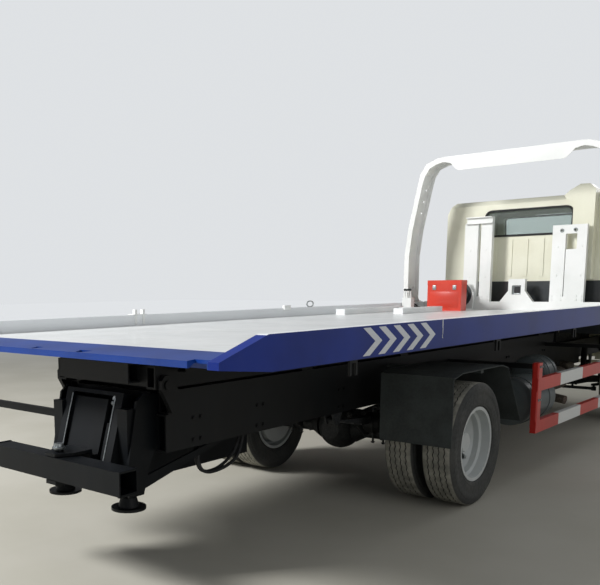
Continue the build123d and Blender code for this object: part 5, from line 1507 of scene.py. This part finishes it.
@dataclass
class TailFittings(Assembly):
    """Stakes, a ring, closing plates and weld seams along the deck's rails."""

    deck: float = 1.230
    rail_x: Pair = (1.094, 1.146)
    rail_top: float = 1.312
    stakes_x: Pair = (1.084, 1.112)
    stakes_y: Pair = (2.60, 2.52)
    stake_width: float = 0.024
    ring_centre: Point = (1.098, 0.26, 1.342)
    ring_reach: Pair = (0.055, 0.028)
    ring_bar: float = 0.009
    end_plate: tuple[Pair, Pair] = ((-2.220, -2.214), (1.152, 1.306))
    seam_x: float = 1.083
    seam_y: Pair = (-2.15, 3.98)
    seam_width: float = 0.010

    def build(self) -> None:
        """Build the pieces on the rails and along the deck."""
        self.far_rail()
        ends = Builder().block(self.rail_x, *self.end_plate, 0.002)
        ends.mirrored().piece("rail_end_plates", self.finishes.tail, "bed")
        seams = Builder()
        for sign in (-1, 1):
            seams.block(around(sign * self.seam_x, self.seam_width), self.seam_y,
                        (self.deck - 0.001, self.deck + 0.004), 0.001)
        seams.piece("deck_seams", self.finishes.deck, "bed")

    def far_rail(self) -> None:
        """The stakes, plates and ring that the photo shows on the left rail."""
        top = self.rail_top
        stakes = Builder()
        for y in self.stakes_y:
            stakes.block(self.stakes_x, around(y, self.stake_width),
                         (self.deck + 0.01, top + 0.04), 0.003)
        stakes.block((1.082, 1.146), (2.49, 2.63), (top, top + 0.006), 0.002)
        stakes.block((1.07, 1.10), (0.62, 0.72), (top - 0.02, top + 0.025), 0.005)
        stakes.piece("rail_stakes", self.finishes.hoop, "bed")
        centre = Vector(self.ring_centre)
        long, high = self.ring_reach
        loop = [tuple(centre + Vector((0, long * cos(a), high * sin(a))))
                for a in (2 * pi * k / 20 for k in range(20))]
        ring = Builder().bead(loop, (1, 0, 0), self.ring_bar, self.ring_bar)
        ring.piece("rail_ring", self.finishes.zinc, "bed")


@dataclass
class CabForm:
    """The cab's outer form, as lengths that trim is laid on."""

    section: tuple[Pair, ...] = ((1.000, 0.98), (1.000, 1.640), (0.960, 2.170), (0.930, 2.330),
                                 (0.878, 2.430))
    plan: tuple[Pair, ...] = ((-2.370, 0.930), (-2.520, 1.000), (-3.900, 1.000),
                              (-4.120, 0.960), (-4.200, 0.860))
    nose: tuple[Pair, ...] = ((-3.800, 2.420), (-4.130, 1.600), (-4.200, 1.300),
                              (-4.200, 0.980))

    @staticmethod
    def between(points: Sequence[Pair], value: float, by: int) -> float:
        """Read a polyline of pairs at one coordinate, along straight lines.

        Args:
            points: The polyline's points.
            value: The coordinate that is known.
            by: Which of the two coordinates that is, 0 or 1.
        Returns:
            The other coordinate, that of the nearer end where the value lies outside.
        """
        other = 1 - by
        ordered = sorted(points, key=lambda p: p[by])
        for low, high in zip(ordered, ordered[1:]):
            if low[by] <= value <= high[by]:
                share = (value - low[by]) / (high[by] - low[by])
                return low[other] + share * (high[other] - low[other])
        return ordered[0][other] if value < ordered[0][by] else ordered[-1][other]

    def side(self, y: float, z: float) -> float:
        """How far the left side stands from the middle at one place."""
        return min(self.between(self.section, z, 1), self.between(self.plan, y, 0))

    def front(self, z: float) -> float:
        """Where the nose stands along the truck at one height."""
        return self.between(self.nose, z, 1)


def rounded(outline: Sequence[Pair], radius: float, steps: int = 5) -> list[Pair]:
    """An outline with its corners rounded.

    Args:
        outline: Corners in order.
        radius: The corners' radius.
        steps: Points in each corner.
    Returns:
        The rounded outline's points.
    """
    result = []
    count = len(outline)
    for i, corner in enumerate(outline):
        at = Vector(corner)
        before = (Vector(outline[i - 1]) - at)
        after = (Vector(outline[(i + 1) % count]) - at)
        angle = before.angle(after)
        back = min(radius / max(sin(angle / 2) / cos(angle / 2), 0.05),
                   0.45 * min(before.length, after.length))
        start, end = at + before.normalized() * back, at + after.normalized() * back
        for k in range(steps + 1):
            t = k / steps
            point = start.lerp(at, t).lerp(at.lerp(end, t), t)
            result.append((point.x, point.y))
    return result


@dataclass
class CabTrim(Assembly):
    """Seals, mirror faces, wipers, grille, roof lamps and door locks on the tilting cab."""

    form: CabForm = field(default_factory=CabForm)
    seal: float = 0.022
    door_seal: float = 0.016
    rear_y: float = -2.370
    rear_window: tuple[Pair, ...] = ((-0.470, 2.056), (0.470, 2.056), (0.470, 2.338),
                                     (-0.470, 2.338))
    windscreen: tuple[Pair, ...] = ((-0.87, 1.66), (0.87, 1.66), (0.80, 2.37), (-0.80, 2.37))
    door_window: tuple[Pair, ...] = ((-3.100, 1.640), (-3.100, 2.255), (-3.650, 2.255),
                                     (-3.890, 1.640))
    mirror: tuple[Pair, ...] = ((1.066, 1.760), (1.224, 1.760), (1.224, 2.080), (1.066, 2.080))
    mirror_y: Pair = (-4.050, -4.0475)
    wipers_x: Pair = (-0.62, 0.10)
    wiper_reach: float = 0.56
    roof_lamps_x: tuple[float, ...] = (-0.62, -0.20, 0.20, 0.62)
    roof_lamps_foot: Pair = (-3.66, 2.484)
    lock: Pair = (-3.060, 1.470)

    def build(self) -> None:
        """Build the cab's pieces."""
        self.window_seals()
        self.mirror_faces()
        self.wipers()
        self.grille()
        self.roof_lamps()
        self.door_locks()

    def window_seals(self) -> None:
        """Rubber seals around the rear window, the windscreen and the door windows."""
        rubber = self.finishes.rubber
        loop = [(x, self.rear_y + 0.002, z) for x, z in rounded(self.rear_window, 0.078)]
        Builder().bead(loop, (0, 1, 0), self.seal, 0.010).piece("rear_window_seal", rubber, "cab")
        loop = [(x, self.form.front(z) - 0.002, z) for x, z in rounded(self.windscreen, 0.06)]
        Builder().bead(loop, (0, -0.93, 0.37), self.seal, 0.010).piece(
            "windscreen_seal", rubber, "cab")
        for name, sign in SIDES:
            loop = [(sign * (self.form.side(y, z) + 0.001), y, z)
                    for y, z in rounded(self.door_window, 0.045)]
            Builder().bead(loop, (sign, 0, 0.08), self.door_seal, 0.008).piece(
                f"door_window_seal_{name}", rubber, f"door_{name}")

    def mirror_faces(self) -> None:
        """The mirrors' silvered faces, in thin rims."""
        glass, rim = Builder(), Builder()
        face = rounded(self.mirror, 0.025)
        glass.prism(face, "y", self.mirror_y, 0.0008)
        rim.bead([(x, self.mirror_y[0] + 0.001, z) for x, z in face], (0, 1, 0), 0.006, 0.006)
        glass.mirrored().piece("mirror_faces", self.finishes.chrome, "cab")
        rim.mirrored().piece("mirror_rims", self.finishes.plastic, "cab")

    def wipers(self) -> None:
        """Two wipers parked along the windscreen's foot."""
        arms = Builder()
        front = self.form.front
        for x in self.wipers_x:
            foot = (x, front(1.60) - 0.020, 1.605)
            arms.rod(foot, (x + self.wiper_reach * 0.75, front(1.70) - 0.022, 1.70), 0.006)
            arms.lathe([(0, 0), (0, 0.016), (0.012, 0.014), (0.02, 0)], foot, (0, -1, 0.3), 16)
            arms.rod((x + 0.14, front(1.68) - 0.016, 1.675),
                     (x + self.wiper_reach + 0.10, front(1.73) - 0.016, 1.735), 0.005)
        arms.piece("wipers", self.finishes.plastic, "cab")

    def grille(self) -> None:
        """A dark backing behind the nose's slots and a bright bar over them."""
        back = Builder().block((-0.58, 0.58), (-4.150, -4.145), (0.99, 1.335), 0.002)
        back.piece("grille_backing", self.finishes.plastic, "cab")
        bar = Builder().block((-0.60, 0.60), (-4.206, -4.199), (1.345, 1.365), 0.002)
        bar.piece("grille_bar", self.finishes.zinc, "cab")

    def roof_lamps(self) -> None:
        """Amber marker lamps along the roof's front."""
        lamps = Builder()
        for x in self.roof_lamps_x:
            lamps.lathe([(0, 0), (0, 0.030), (0.012, 0.026), (0.020, 0.012), (0.022, 0)],
                        (x, *self.roof_lamps_foot), (0, -0.15, 1), 20)
        lamps.piece("roof_marker_lamps", self.finishes.amber_lens, "cab")

    def door_locks(self) -> None:
        """The lock's barrel on each door."""
        x = self.form.side(-3.05, 1.5)
        for name, sign in SIDES:
            barrel = Builder().lathe([(0, 0), (0, 0.012), (0.003, 0.011), (0.004, 0)],
                                     (sign * x, *self.lock), (sign, 0, 0), 16)
            barrel.piece(f"door_lock_{name}", self.finishes.zinc, f"door_{name}")


@dataclass
class Cushion:
    """One stuffed seat part: a box form that air pressure swells between its seams."""

    size: Point
    place: Matrix
    channels: tuple[float, ...] = ()
    voxel: float = 0.015
    swell: float = 0.016
    pressure: float = 4.0
    steps: int = 20
    channel_depth: float = 0.009
    channel_width: float = 0.012

    def form(self, name: str) -> Piece:
        """The slightly smaller starting form, as an even grid of quads.

        Args:
            name: The cushion's name.
        Returns:
            The form, in the middle of the scene.
        """
        builder = Builder()
        half = [s / 2 - self.swell * 0.6 for s in self.size]
        builder.block(*[(-h, h) for h in half], 0.028)
        mesh = bpy.data.meshes.new(name)
        builder.bm.to_mesh(mesh)
        builder.bm.free()
        source = new_object(name, mesh)
        remesh = source.modifiers.new("grid", "REMESH")
        remesh.mode = "VOXEL"
        remesh.voxel_size = self.voxel
        return new_object(name, plain_mesh(source, name))

    def swollen(self, form: Piece) -> bpy.types.Mesh:
        """Let air pressure swell the form, with no point moved further than the cap.

        Args:
            form: The starting form, which is removed.
        Returns:
            The swollen mesh.
        """
        before = [v.co.copy() for v in form.data.vertices]
        cloth = form.modifiers.new("air", "CLOTH")
        cloth.settings.quality = 4
        cloth.settings.use_pressure = True
        cloth.settings.uniform_pressure_force = self.pressure
        cloth.settings.effector_weights.gravity = 0.0
        cloth.point_cache.frame_start, cloth.point_cache.frame_end = 1, self.steps
        for step in range(1, self.steps + 1):
            bpy.context.scene.frame_set(step)
        mesh = plain_mesh(form, form.name)
        bpy.context.scene.frame_set(1)
        for vert, start in zip(mesh.vertices, before):
            move = vert.co - start
            if move.length > self.swell:
                vert.co = start + move.normalized() * self.swell
        return mesh

    def sew(self, mesh: bpy.types.Mesh) -> None:
        """Press the sewn channels into the padded faces.

        Args:
            mesh: The swollen mesh, changed in place.
        """
        for vert in mesh.vertices:
            pull = sum(2.718 ** -(((vert.co.x - at) / self.channel_width) ** 2)
                       for at in self.channels)
            vert.co.z -= self.channel_depth * pull * (1 if vert.co.z > 0 else -1)

    def build(self, name: str, material: Material) -> Piece:
        """Build the cushion in its place on the cab.

        Args:
            name: The cushion's name.
            material: Its cloth.
        Returns:
            The piece.
        """
        mesh = self.swollen(self.form(name))
        self.sew(mesh)
        mesh.transform(self.place)
        piece = finish_mesh(name, mesh, material, "cab", 80)
        return piece


@dataclass
class SeatCushions(Assembly):
    """The driver's seat, the passenger seat and the middle seat, stuffed and on pedestals."""

    outer_x: Pair = (0.420, 0.890)
    seat_y: Pair = (-3.190, -2.640)
    seat_z: Pair = (1.330, 1.450)
    back_foot: Pair = (-2.630, 1.400)
    back_size: Pair = (0.56, 0.11)
    channels: tuple[float, ...] = (-0.13, 0.0, 0.13)
    lean: float = 10.0
    middle_seat: Point = (0.76, 0.47, 0.15)
    middle_back: Point = (0.70, 0.42, 0.09)

    def back_place(self, x: float, height: float, lift: float = 0.0) -> Matrix:
        """The middle of a leaning backrest, its padded face to the front.

        Args:
            x: Its place across the truck.
            height: Its height along the lean.
            lift: How much higher it stands than the outer ones.
        Returns:
            The matrix from the cushion's own frame to the row frame.
        """
        foot = Matrix.Translation((x, self.back_foot[0], self.back_foot[1] + lift))
        return (foot @ Matrix.Rotation(radians(-self.lean), 4, "X")
                @ Matrix.Translation((0, 0, height / 2)) @ Matrix.Rotation(radians(90), 4, "X"))

    def cushions(self) -> dict[str, Cushion]:
        """Every seat part, by its piece's name.

        Returns:
            The cushions in the order in which they are built.
        """
        spans = (self.outer_x, self.seat_y, self.seat_z)
        size = tuple(high - low for low, high in spans)
        x, y, z = [(low + high) / 2 for low, high in spans]
        parts = {}
        for name, sign in (("driver", 1), ("passenger", -1)):
            parts[f"{name}_seat_cushion"] = Cushion(size, Matrix.Translation((sign * x, y, z)),
                                                    self.channels)
            parts[f"{name}_seat_back"] = Cushion(
                (size[0], *self.back_size), self.back_place(sign * x, self.back_size[0]),
                self.channels)
        parts["middle_seat_cushion"] = Cushion(
            self.middle_seat, Matrix.Translation((0, -2.880, 1.362)), (-0.19, 0.0, 0.19))
        parts["middle_seat_back"] = Cushion(
            self.middle_back, self.back_place(0, self.middle_back[1], -0.02), (-0.17, 0.17))
        return parts

    def build(self) -> None:
        """Build every seat's cushions and their pedestals."""
        parts = [cushion.build(name, self.finishes.cloth)
                 for name, cushion in self.cushions().items()]
        for part in parts:
            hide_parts("seats")
        base = Builder()
        base.block((0.485, 0.825), (-3.055, -2.685), (1.030, 1.332), 0.012)
        for x in (0.52, 0.79):
            base.block(around(x, 0.036), (-3.12, -2.62), (1.312, 1.336), 0.003)
        base.mirrored().piece("seat_pedestals", self.finishes.plastic, "cab")


@dataclass
class Undercarriage(Assembly):
    """Bolts, U-bolts, dampers, brake chambers, tank straps and lines on the chassis."""

    rail: float = 0.400
    rear_y: float = 1.450
    front_y: float = -3.000
    rail_bolts_y: tuple[float, ...] = (-4.04, -1.90, -0.90, 0.30, 1.0, 2.1, 3.0, 3.56)
    rail_bolts_z: Pair = (0.70, 0.82)
    u_bolts_x: Pair = (0.322, 0.408)
    u_bolts_reach: float = 0.065
    u_bolt_radius: float = 0.008
    chamber: tuple[Pair, ...] = (
        (0, 0), (0, 0.05), (0.02, 0.072), (0.05, 0.078), (0.056, 0.084), (0.066, 0.084),
        (0.072, 0.078), (0.13, 0.074), (0.15, 0.05), (0.15, 0))
    fuel_tank: tuple[Pair, ...] = ((0.556, 0.426), (1.054, 0.426), (1.054, 0.854),
                                   (0.556, 0.854))
    straps_y: Pair = (-1.70, -1.15)
    strap: Pair = (0.003, 0.040)
    cap_foot: Point = (0.78, -1.11, 0.890)
    clips_y: Pair = (-0.56, -0.17)
    line_x: float = 0.378
    line_radius: float = 0.006

    def build(self) -> None:
        """Build the chassis pieces."""
        self.rail_bolts()
        self.spring_bolts()
        self.dampers()
        self.brake_chambers()
        self.tank_fittings()
        self.lines()

    def rail_bolts(self) -> None:
        """Bolts through the rails' webs at the cross members and brackets."""
        places = []
        for y in self.rail_bolts_y:
            low, high = around(y, 0.06)
            for z in self.rail_bolts_z:
                places += row((self.rail, low, z), (self.rail, high, z), 2, (1, 0, 0))
        self.bolts.apply("rail_bolts", both_sides(places), 0.011, self.finishes.chassis,
                         "chassis")

    def spring_bolts(self) -> None:
        """The U-bolts that clamp each axle to its springs."""
        clamps = Builder()
        nuts = []
        inner, outer = self.u_bolts_x
        for axle, low, high in ((self.rear_y, 0.345, 0.62), (self.front_y, 0.335, 0.50)):
            for y in (axle - self.u_bolts_reach, axle + self.u_bolts_reach):
                for x in self.u_bolts_x:
                    clamps.rod((x, y, low), (x, y, high), self.u_bolt_radius)
                    nuts.append(((x, y, low + 0.012), (0, 0, -1)))
                clamps.rod((inner, y, high), (outer, y, high), self.u_bolt_radius)
        clamps.mirrored().piece("spring_u_bolts", self.finishes.spring, "chassis")
        self.bolts.apply("spring_nuts", both_sides(nuts), 0.013, self.finishes.spring, "chassis")

    @staticmethod
    def damper(builder: Builder, low: Point, high: Point) -> None:
        """Add one telescopic damper between two points.

        Args:
            builder: The builder that gathers the dampers.
            low, high: The middles of its two eyes.
        """
        way = Vector(high) - Vector(low)
        length = way.length
        builder.lathe([(0, 0), (0, 0.016), (0.03, 0.022), (0.035, 0.028),
                       (length * 0.52, 0.028), (length * 0.52, 0.034), (length - 0.04, 0.034),
                       (length - 0.03, 0.018), (length, 0.016), (length, 0)], low, tuple(way), 20)

    def dampers(self) -> None:
        """Dampers beside the front springs and behind the rear axle."""
        builder = Builder()
        self.damper(builder, (0.46, self.front_y - 0.08, 0.44), (0.445, self.front_y - 0.20, 0.80))
        self.damper(builder, (0.30, self.rear_y + 0.11, 0.42), (0.27, self.rear_y + 0.34, 0.62))
        builder.mirrored().piece("dampers", self.finishes.chassis, "chassis")

    def brake_chambers(self) -> None:
        """The air chambers that work the rear brakes, with their clevis rods."""
        builder = Builder()
        start = (0.47, self.rear_y + 0.17, 0.52)
        builder.lathe(self.chamber, start, (-1, 0.15, 0.05), 28)
        builder.rod(start, (0.56, self.rear_y + 0.13, 0.49), 0.009)
        builder.mirrored().piece("brake_chambers", self.finishes.chassis, "chassis")

    def tank_fittings(self) -> None:
        """Straps and a cap on the fuel tank, and clips on the battery box."""
        straps, cap, clips = Builder(), Builder(), Builder()
        for y in self.straps_y:
            loop = [(x, y, z) for x, z in rounded(self.fuel_tank, 0.062, 6)]
            straps.bead(loop, (0, 1, 0), *self.strap)
        straps.piece("fuel_tank_straps", self.finishes.zinc, "chassis")
        cap.lathe([(0, 0), (0, 0.050), (0.012, 0.052), (0.024, 0.050), (0.030, 0.035),
                   (0.030, 0)], self.cap_foot, (0, 0, 1), 28)
        cap.piece("fuel_cap", self.finishes.plastic, "chassis")
        for y in self.clips_y:
            clips.block((1.002, 1.014), around(y, 0.04), (0.74, 0.83), 0.003)
        clips.piece("battery_clips", self.finishes.zinc, "chassis")

    def lines(self) -> None:
        """Air and brake lines along the left rail, and a brake hose to each rear wheel."""
        rubber, x = self.finishes.rubber, self.line_x
        for i in range(3):
            z = 0.835 - 0.018 * i
            hose(f"rail_line_{i}", [(x, -3.9, z), (x, -1.5, z), (x, 0.5, z + 0.004),
                                    (x, 2.4, z), (x, 3.55, z)],
                 self.line_radius, rubber, "chassis")
        path = ((0.37, 1.05, 0.74), (0.34, 1.14, 0.70), (0.33, 1.28, 0.56), (0.40, 1.50, 0.60),
                (0.42, 1.60, 0.56))
        for name, sign in SIDES:
            hose(f"brake_hose_{name}", [(sign * across, y, z) for across, y, z in path],
                 0.009, rubber, "chassis")


@dataclass
class Underlift(Assembly):
    """A nut, wear strips, a pin head, collars, bolts and hoses on the lift at the tail."""

    slope: float = 0.3
    slope_y: float = 3.940
    slope_z: float = 0.800
    nut_x: float = -0.135
    nut_low: float = 0.100
    strip_x: float = 0.174
    strip_out: float = 0.047
    strip_span: Pair = (-0.34, 0.14)
    cross_y: float = 4.190
    pin_foot: float = 0.690
    collar_x: Pair = (0.515, 0.532)
    collar_y: Pair = (-0.063, 0.0599)
    collars_z: tuple[Pair, ...] = ((0.534, 0.541), (0.655, 0.661))
    bolts_x: float = 0.315
    bolts_y: Pair = (3.68, 3.76)
    bolts_z: Pair = (0.72, 0.80)
    hoses: tuple[Pair, ...] = ((-0.285, 0.0), (-0.262, 0.03), (0.275, -0.04))
    hose_radius: float = 0.010

    def at(self, x: float, n: float, s: float) -> Point:
        """A point given in the inclined guides' own directions.

        Args:
            x: Its place across the truck.
            n: How far it stands out from the guides' middle, to the rear.
            s: How far it stands up along the guides.
        Returns:
            The point in the row frame.
        """
        down = hypot(1, self.slope)
        return (x, self.slope_y + (n - s * self.slope) / down,
                self.slope_z + (s + n * self.slope) / down)

    def build(self) -> None:
        """Build the underlift's pieces."""
        self.column_pieces()
        self.crossbar_pieces()
        places = []
        low, high = self.bolts_y
        for z in self.bolts_z:
            places += row((self.bolts_x, low, z), (self.bolts_x, high, z), 2, (1, 0, 0))
        self.bolts.apply("column_bolts", both_sides(places), 0.012, self.finishes.zinc,
                         "chassis")
        for i, (x, shift) in enumerate(self.hoses):
            hose(f"lift_hose_{i}", self.hose_path(x, shift), self.hose_radius,
                 self.finishes.rubber, "chassis")

    def column_pieces(self) -> None:
        """The nut on the lift rod and the wear strips in the guides."""
        nut = Builder()
        nut.lathe([(0, 0), (0, 0.020), (0.006, 0.026), (0.020, 0.026), (0.026, 0.020),
                   (0.026, 0)], self.at(self.nut_x, 0, self.nut_low), (0, -self.slope, 1), 24)
        nut.piece("lift_rod_nut", self.finishes.zinc, "chassis")
        strips = Builder()
        low, high = self.strip_span
        for x in (-self.strip_x, self.strip_x):
            strips.rod(self.at(x, self.strip_out, low), self.at(x, self.strip_out, high),
                       0.003, 8)
        strips.piece("guide_wear_strips", self.finishes.zinc, "chassis")

    def crossbar_pieces(self) -> None:
        """The head of the cross bar's pin and the collars around the bar."""
        pin = Builder()
        pin.lathe([(0, 0), (0, 0.030), (0.006, 0.034), (0.014, 0.034), (0.018, 0.026),
                   (0.030, 0.024), (0.034, 0)], (0, self.cross_y, self.pin_foot), (0, 0, 1), 24)
        pin.piece("crossbar_pin_head", self.finishes.zinc, "underlift_boom")
        collars = Builder()
        near, far = self.collar_x
        along = (self.cross_y + self.collar_y[0], self.cross_y + self.collar_y[1])
        for x in ((-far, -near), (near, far)):
            for z in self.collars_z:
                collars.block(x, along, z, 0.001)
        collars.piece("crossbar_collars", self.finishes.lift, "crossbar")

    @staticmethod
    def hose_path(x: float, shift: float) -> list[Point]:
        """One hose's hanging loop between the frame and the column.

        Args:
            x: Its place across the truck.
            shift: How much higher its loop hangs than the first hose's.
        Returns:
            The hose's control points.
        """
        return [(x, 3.02, 0.655), (x, 3.03, 0.58 + shift), (x - 0.01, 3.10, 0.49 + shift),
                (x - 0.015, 3.25, 0.455), (x - 0.015, 3.40, 0.46),
                (x - 0.01, 3.445, 0.54 + shift), (x, 3.42, 0.62), (x, 3.36, 0.70),
                (x, 3.34, 0.78)]


@dataclass
class SideGuards(Assembly):
    """The bolts on the side guards' posts."""

    posts: Pair = (-1.96, 0.415)
    outer: float = 1.144
    bolts_z: Pair = (0.62, 0.88)

    def build(self) -> None:
        """Build the guards' pieces."""
        places = []
        for y in self.posts:
            low, high = around(y, 0.04)
            for z in self.bolts_z:
                places += row((self.outer, low, z), (self.outer, high, z), 2, (1, 0, 0))
        self.bolts.apply("guard_bolts", both_sides(places), 0.009, self.finishes.zinc, "chassis")


@dataclass
class Headlamps(Assembly):
    """Chrome bezels around the headlamps in the bumper."""

    x: Pair = (0.748, 0.952)
    y: float = -4.220
    z: Pair = (0.458, 0.577)

    def build(self) -> None:
        """Build the lamps' pieces."""
        (left, right), (low, high) = self.x, self.z
        face = rounded([(left, low), (right, low), (right, high), (left, high)], 0.022)
        bezel = Builder().bead([(x, self.y, z) for x, z in face], (0, -1, 0), 0.010, 0.006)
        bezel.mirrored().piece("headlamp_bezels", self.finishes.chrome, "chassis")


# Stage

@dataclass
class Studio:
    """Pale floor, three area lights, a white surround and the photo's camera."""

    place: Point = (-3.1651, 6.5970, 1.5191)
    turn: Point = (81.55424, 0.52707, -137.47885)
    lens: float = 46.107
    shift: Pair = (0.17806, 0.18033)
    floor_colour: str = "#bcb9ae"
    floor_shade: str = "#b5b2a6"
    floor_reach: float = 60
    floor_fade: Pair = (7.0, 30.0)
    surround: str = "#eef1f4"
    surround_light: float = 0.86
    world_light: float = 0.30

    def build(self) -> None:
        """Build the camera, floor, lights and world."""
        self.camera()
        self.floor()
        self.lights()
        self.world()
        bpy.context.scene.view_settings.view_transform = "Standard"

    def camera(self) -> None:
        """The camera that was fitted to the photo."""
        data = bpy.data.cameras.new("photo_camera")
        data.sensor_width = 36
        data.sensor_fit = "HORIZONTAL"
        data.lens = self.lens
        data.shift_x, data.shift_y = self.shift
        data.clip_end = 200
        camera = new_object("photo_camera", data)
        camera.location = self.place
        camera.rotation_euler = Euler([radians(a) for a in self.turn])
        bpy.context.scene.camera = camera

    def floor(self) -> None:
        """A wide pale floor that shows as even light to the camera far away."""
        surface = Surface("pale_floor")
        near = surface.blend(surface.ramp(surface.noise(900, 5), 0.3, 0.7),
                             linear(self.floor_colour), linear(self.floor_shade))
        squared = surface.join("ADD", surface.join("POWER", surface.axis("X"), 2.0),
                               surface.join("POWER", surface.axis("Y"), 2.0))
        away = surface.ramp(surface.join("SQRT", squared), *self.floor_fade)
        surface.colour(surface.blend(away, near, (0, 0, 0, 1)))
        surface.set(Roughness=0.8, Specular_IOR_Level=0.2)
        surface.shader.inputs["Emission Color"].default_value = linear(self.surround)
        surface.tree.links.new(surface.join("MULTIPLY", away, self.surround_light),
                               surface.shader.inputs["Emission Strength"])
        mesh = bpy.data.meshes.new("floor")
        reach = self.floor_reach
        mesh.from_pydata([(-reach, -reach, 0), (reach, -reach, 0), (reach, reach, 0),
                          (-reach, reach, 0)], [], [(0, 1, 2, 3)])
        mesh.materials.append(surface.material)
        new_object("floor", mesh)

    def lights(self) -> None:
        """A broad key light from the far rear side, and weak fills."""
        for name, place, target, size, power in (
                ("key", (6.2, 10.0, 8.4), (0, 0.5, 0.8), 3.0, 1800.0),
                ("fill", (-9.0, 4.0, 4.0), (0, 0, 1.0), 7.0, 115.0),
                ("front", (-2.0, -11.0, 6.0), (0, -1, 1.2), 6.0, 200.0)):
            data = bpy.data.lights.new(name, "AREA")
            data.size = size
            data.energy = power
            lamp = new_object(name, data)
            lamp.location = place
            way = Vector(target) - Vector(place)
            lamp.rotation_euler = way.to_track_quat("-Z", "Y").to_euler()

    def world(self) -> None:
        """Soft even light, with a paler surround for the camera and reflections."""
        world = bpy.data.worlds.new("studio")
        bpy.context.scene.world = world
        world.use_nodes = True
        tree = world.node_tree
        tree.nodes.clear()
        path = add_node(tree, "ShaderNodeLightPath").outputs
        seen = add_node(tree, "ShaderNodeMath", {0: path["Is Camera Ray"],
                                                 1: path["Is Transmission Ray"]},
                        operation="MAXIMUM").outputs[0]
        strength = add_node(tree, "ShaderNodeMapRange",
                            {"Value": seen, "To Min": self.world_light,
                             "To Max": self.surround_light})
        light = add_node(tree, "ShaderNodeBackground",
                         {"Color": linear(self.surround), "Strength": strength.outputs[0]})
        add_node(tree, "ShaderNodeOutputWorld", {"Surface": light.outputs[0]})


def main() -> None:
    """Build the stage and every sub-assembly in order."""
    logging.basicConfig(level=logging.INFO, format="%(name)s: %(message)s")
    finishes = Finishes()
    bolts = FastenerTree()
    Studio().build()
    PlainNodes(finishes).dress()
    for assembly in (Wheels, Bed, Hoop, Headboard, Winch, ToolBox, TailFittings, CabTrim,
                     Undercarriage, Underlift, SideGuards, Headlamps, SeatCushions):
        assembly(finishes, bolts).build()
        log.info("built %s", assembly.__name__)


if __name__ == "__main__":
    main()
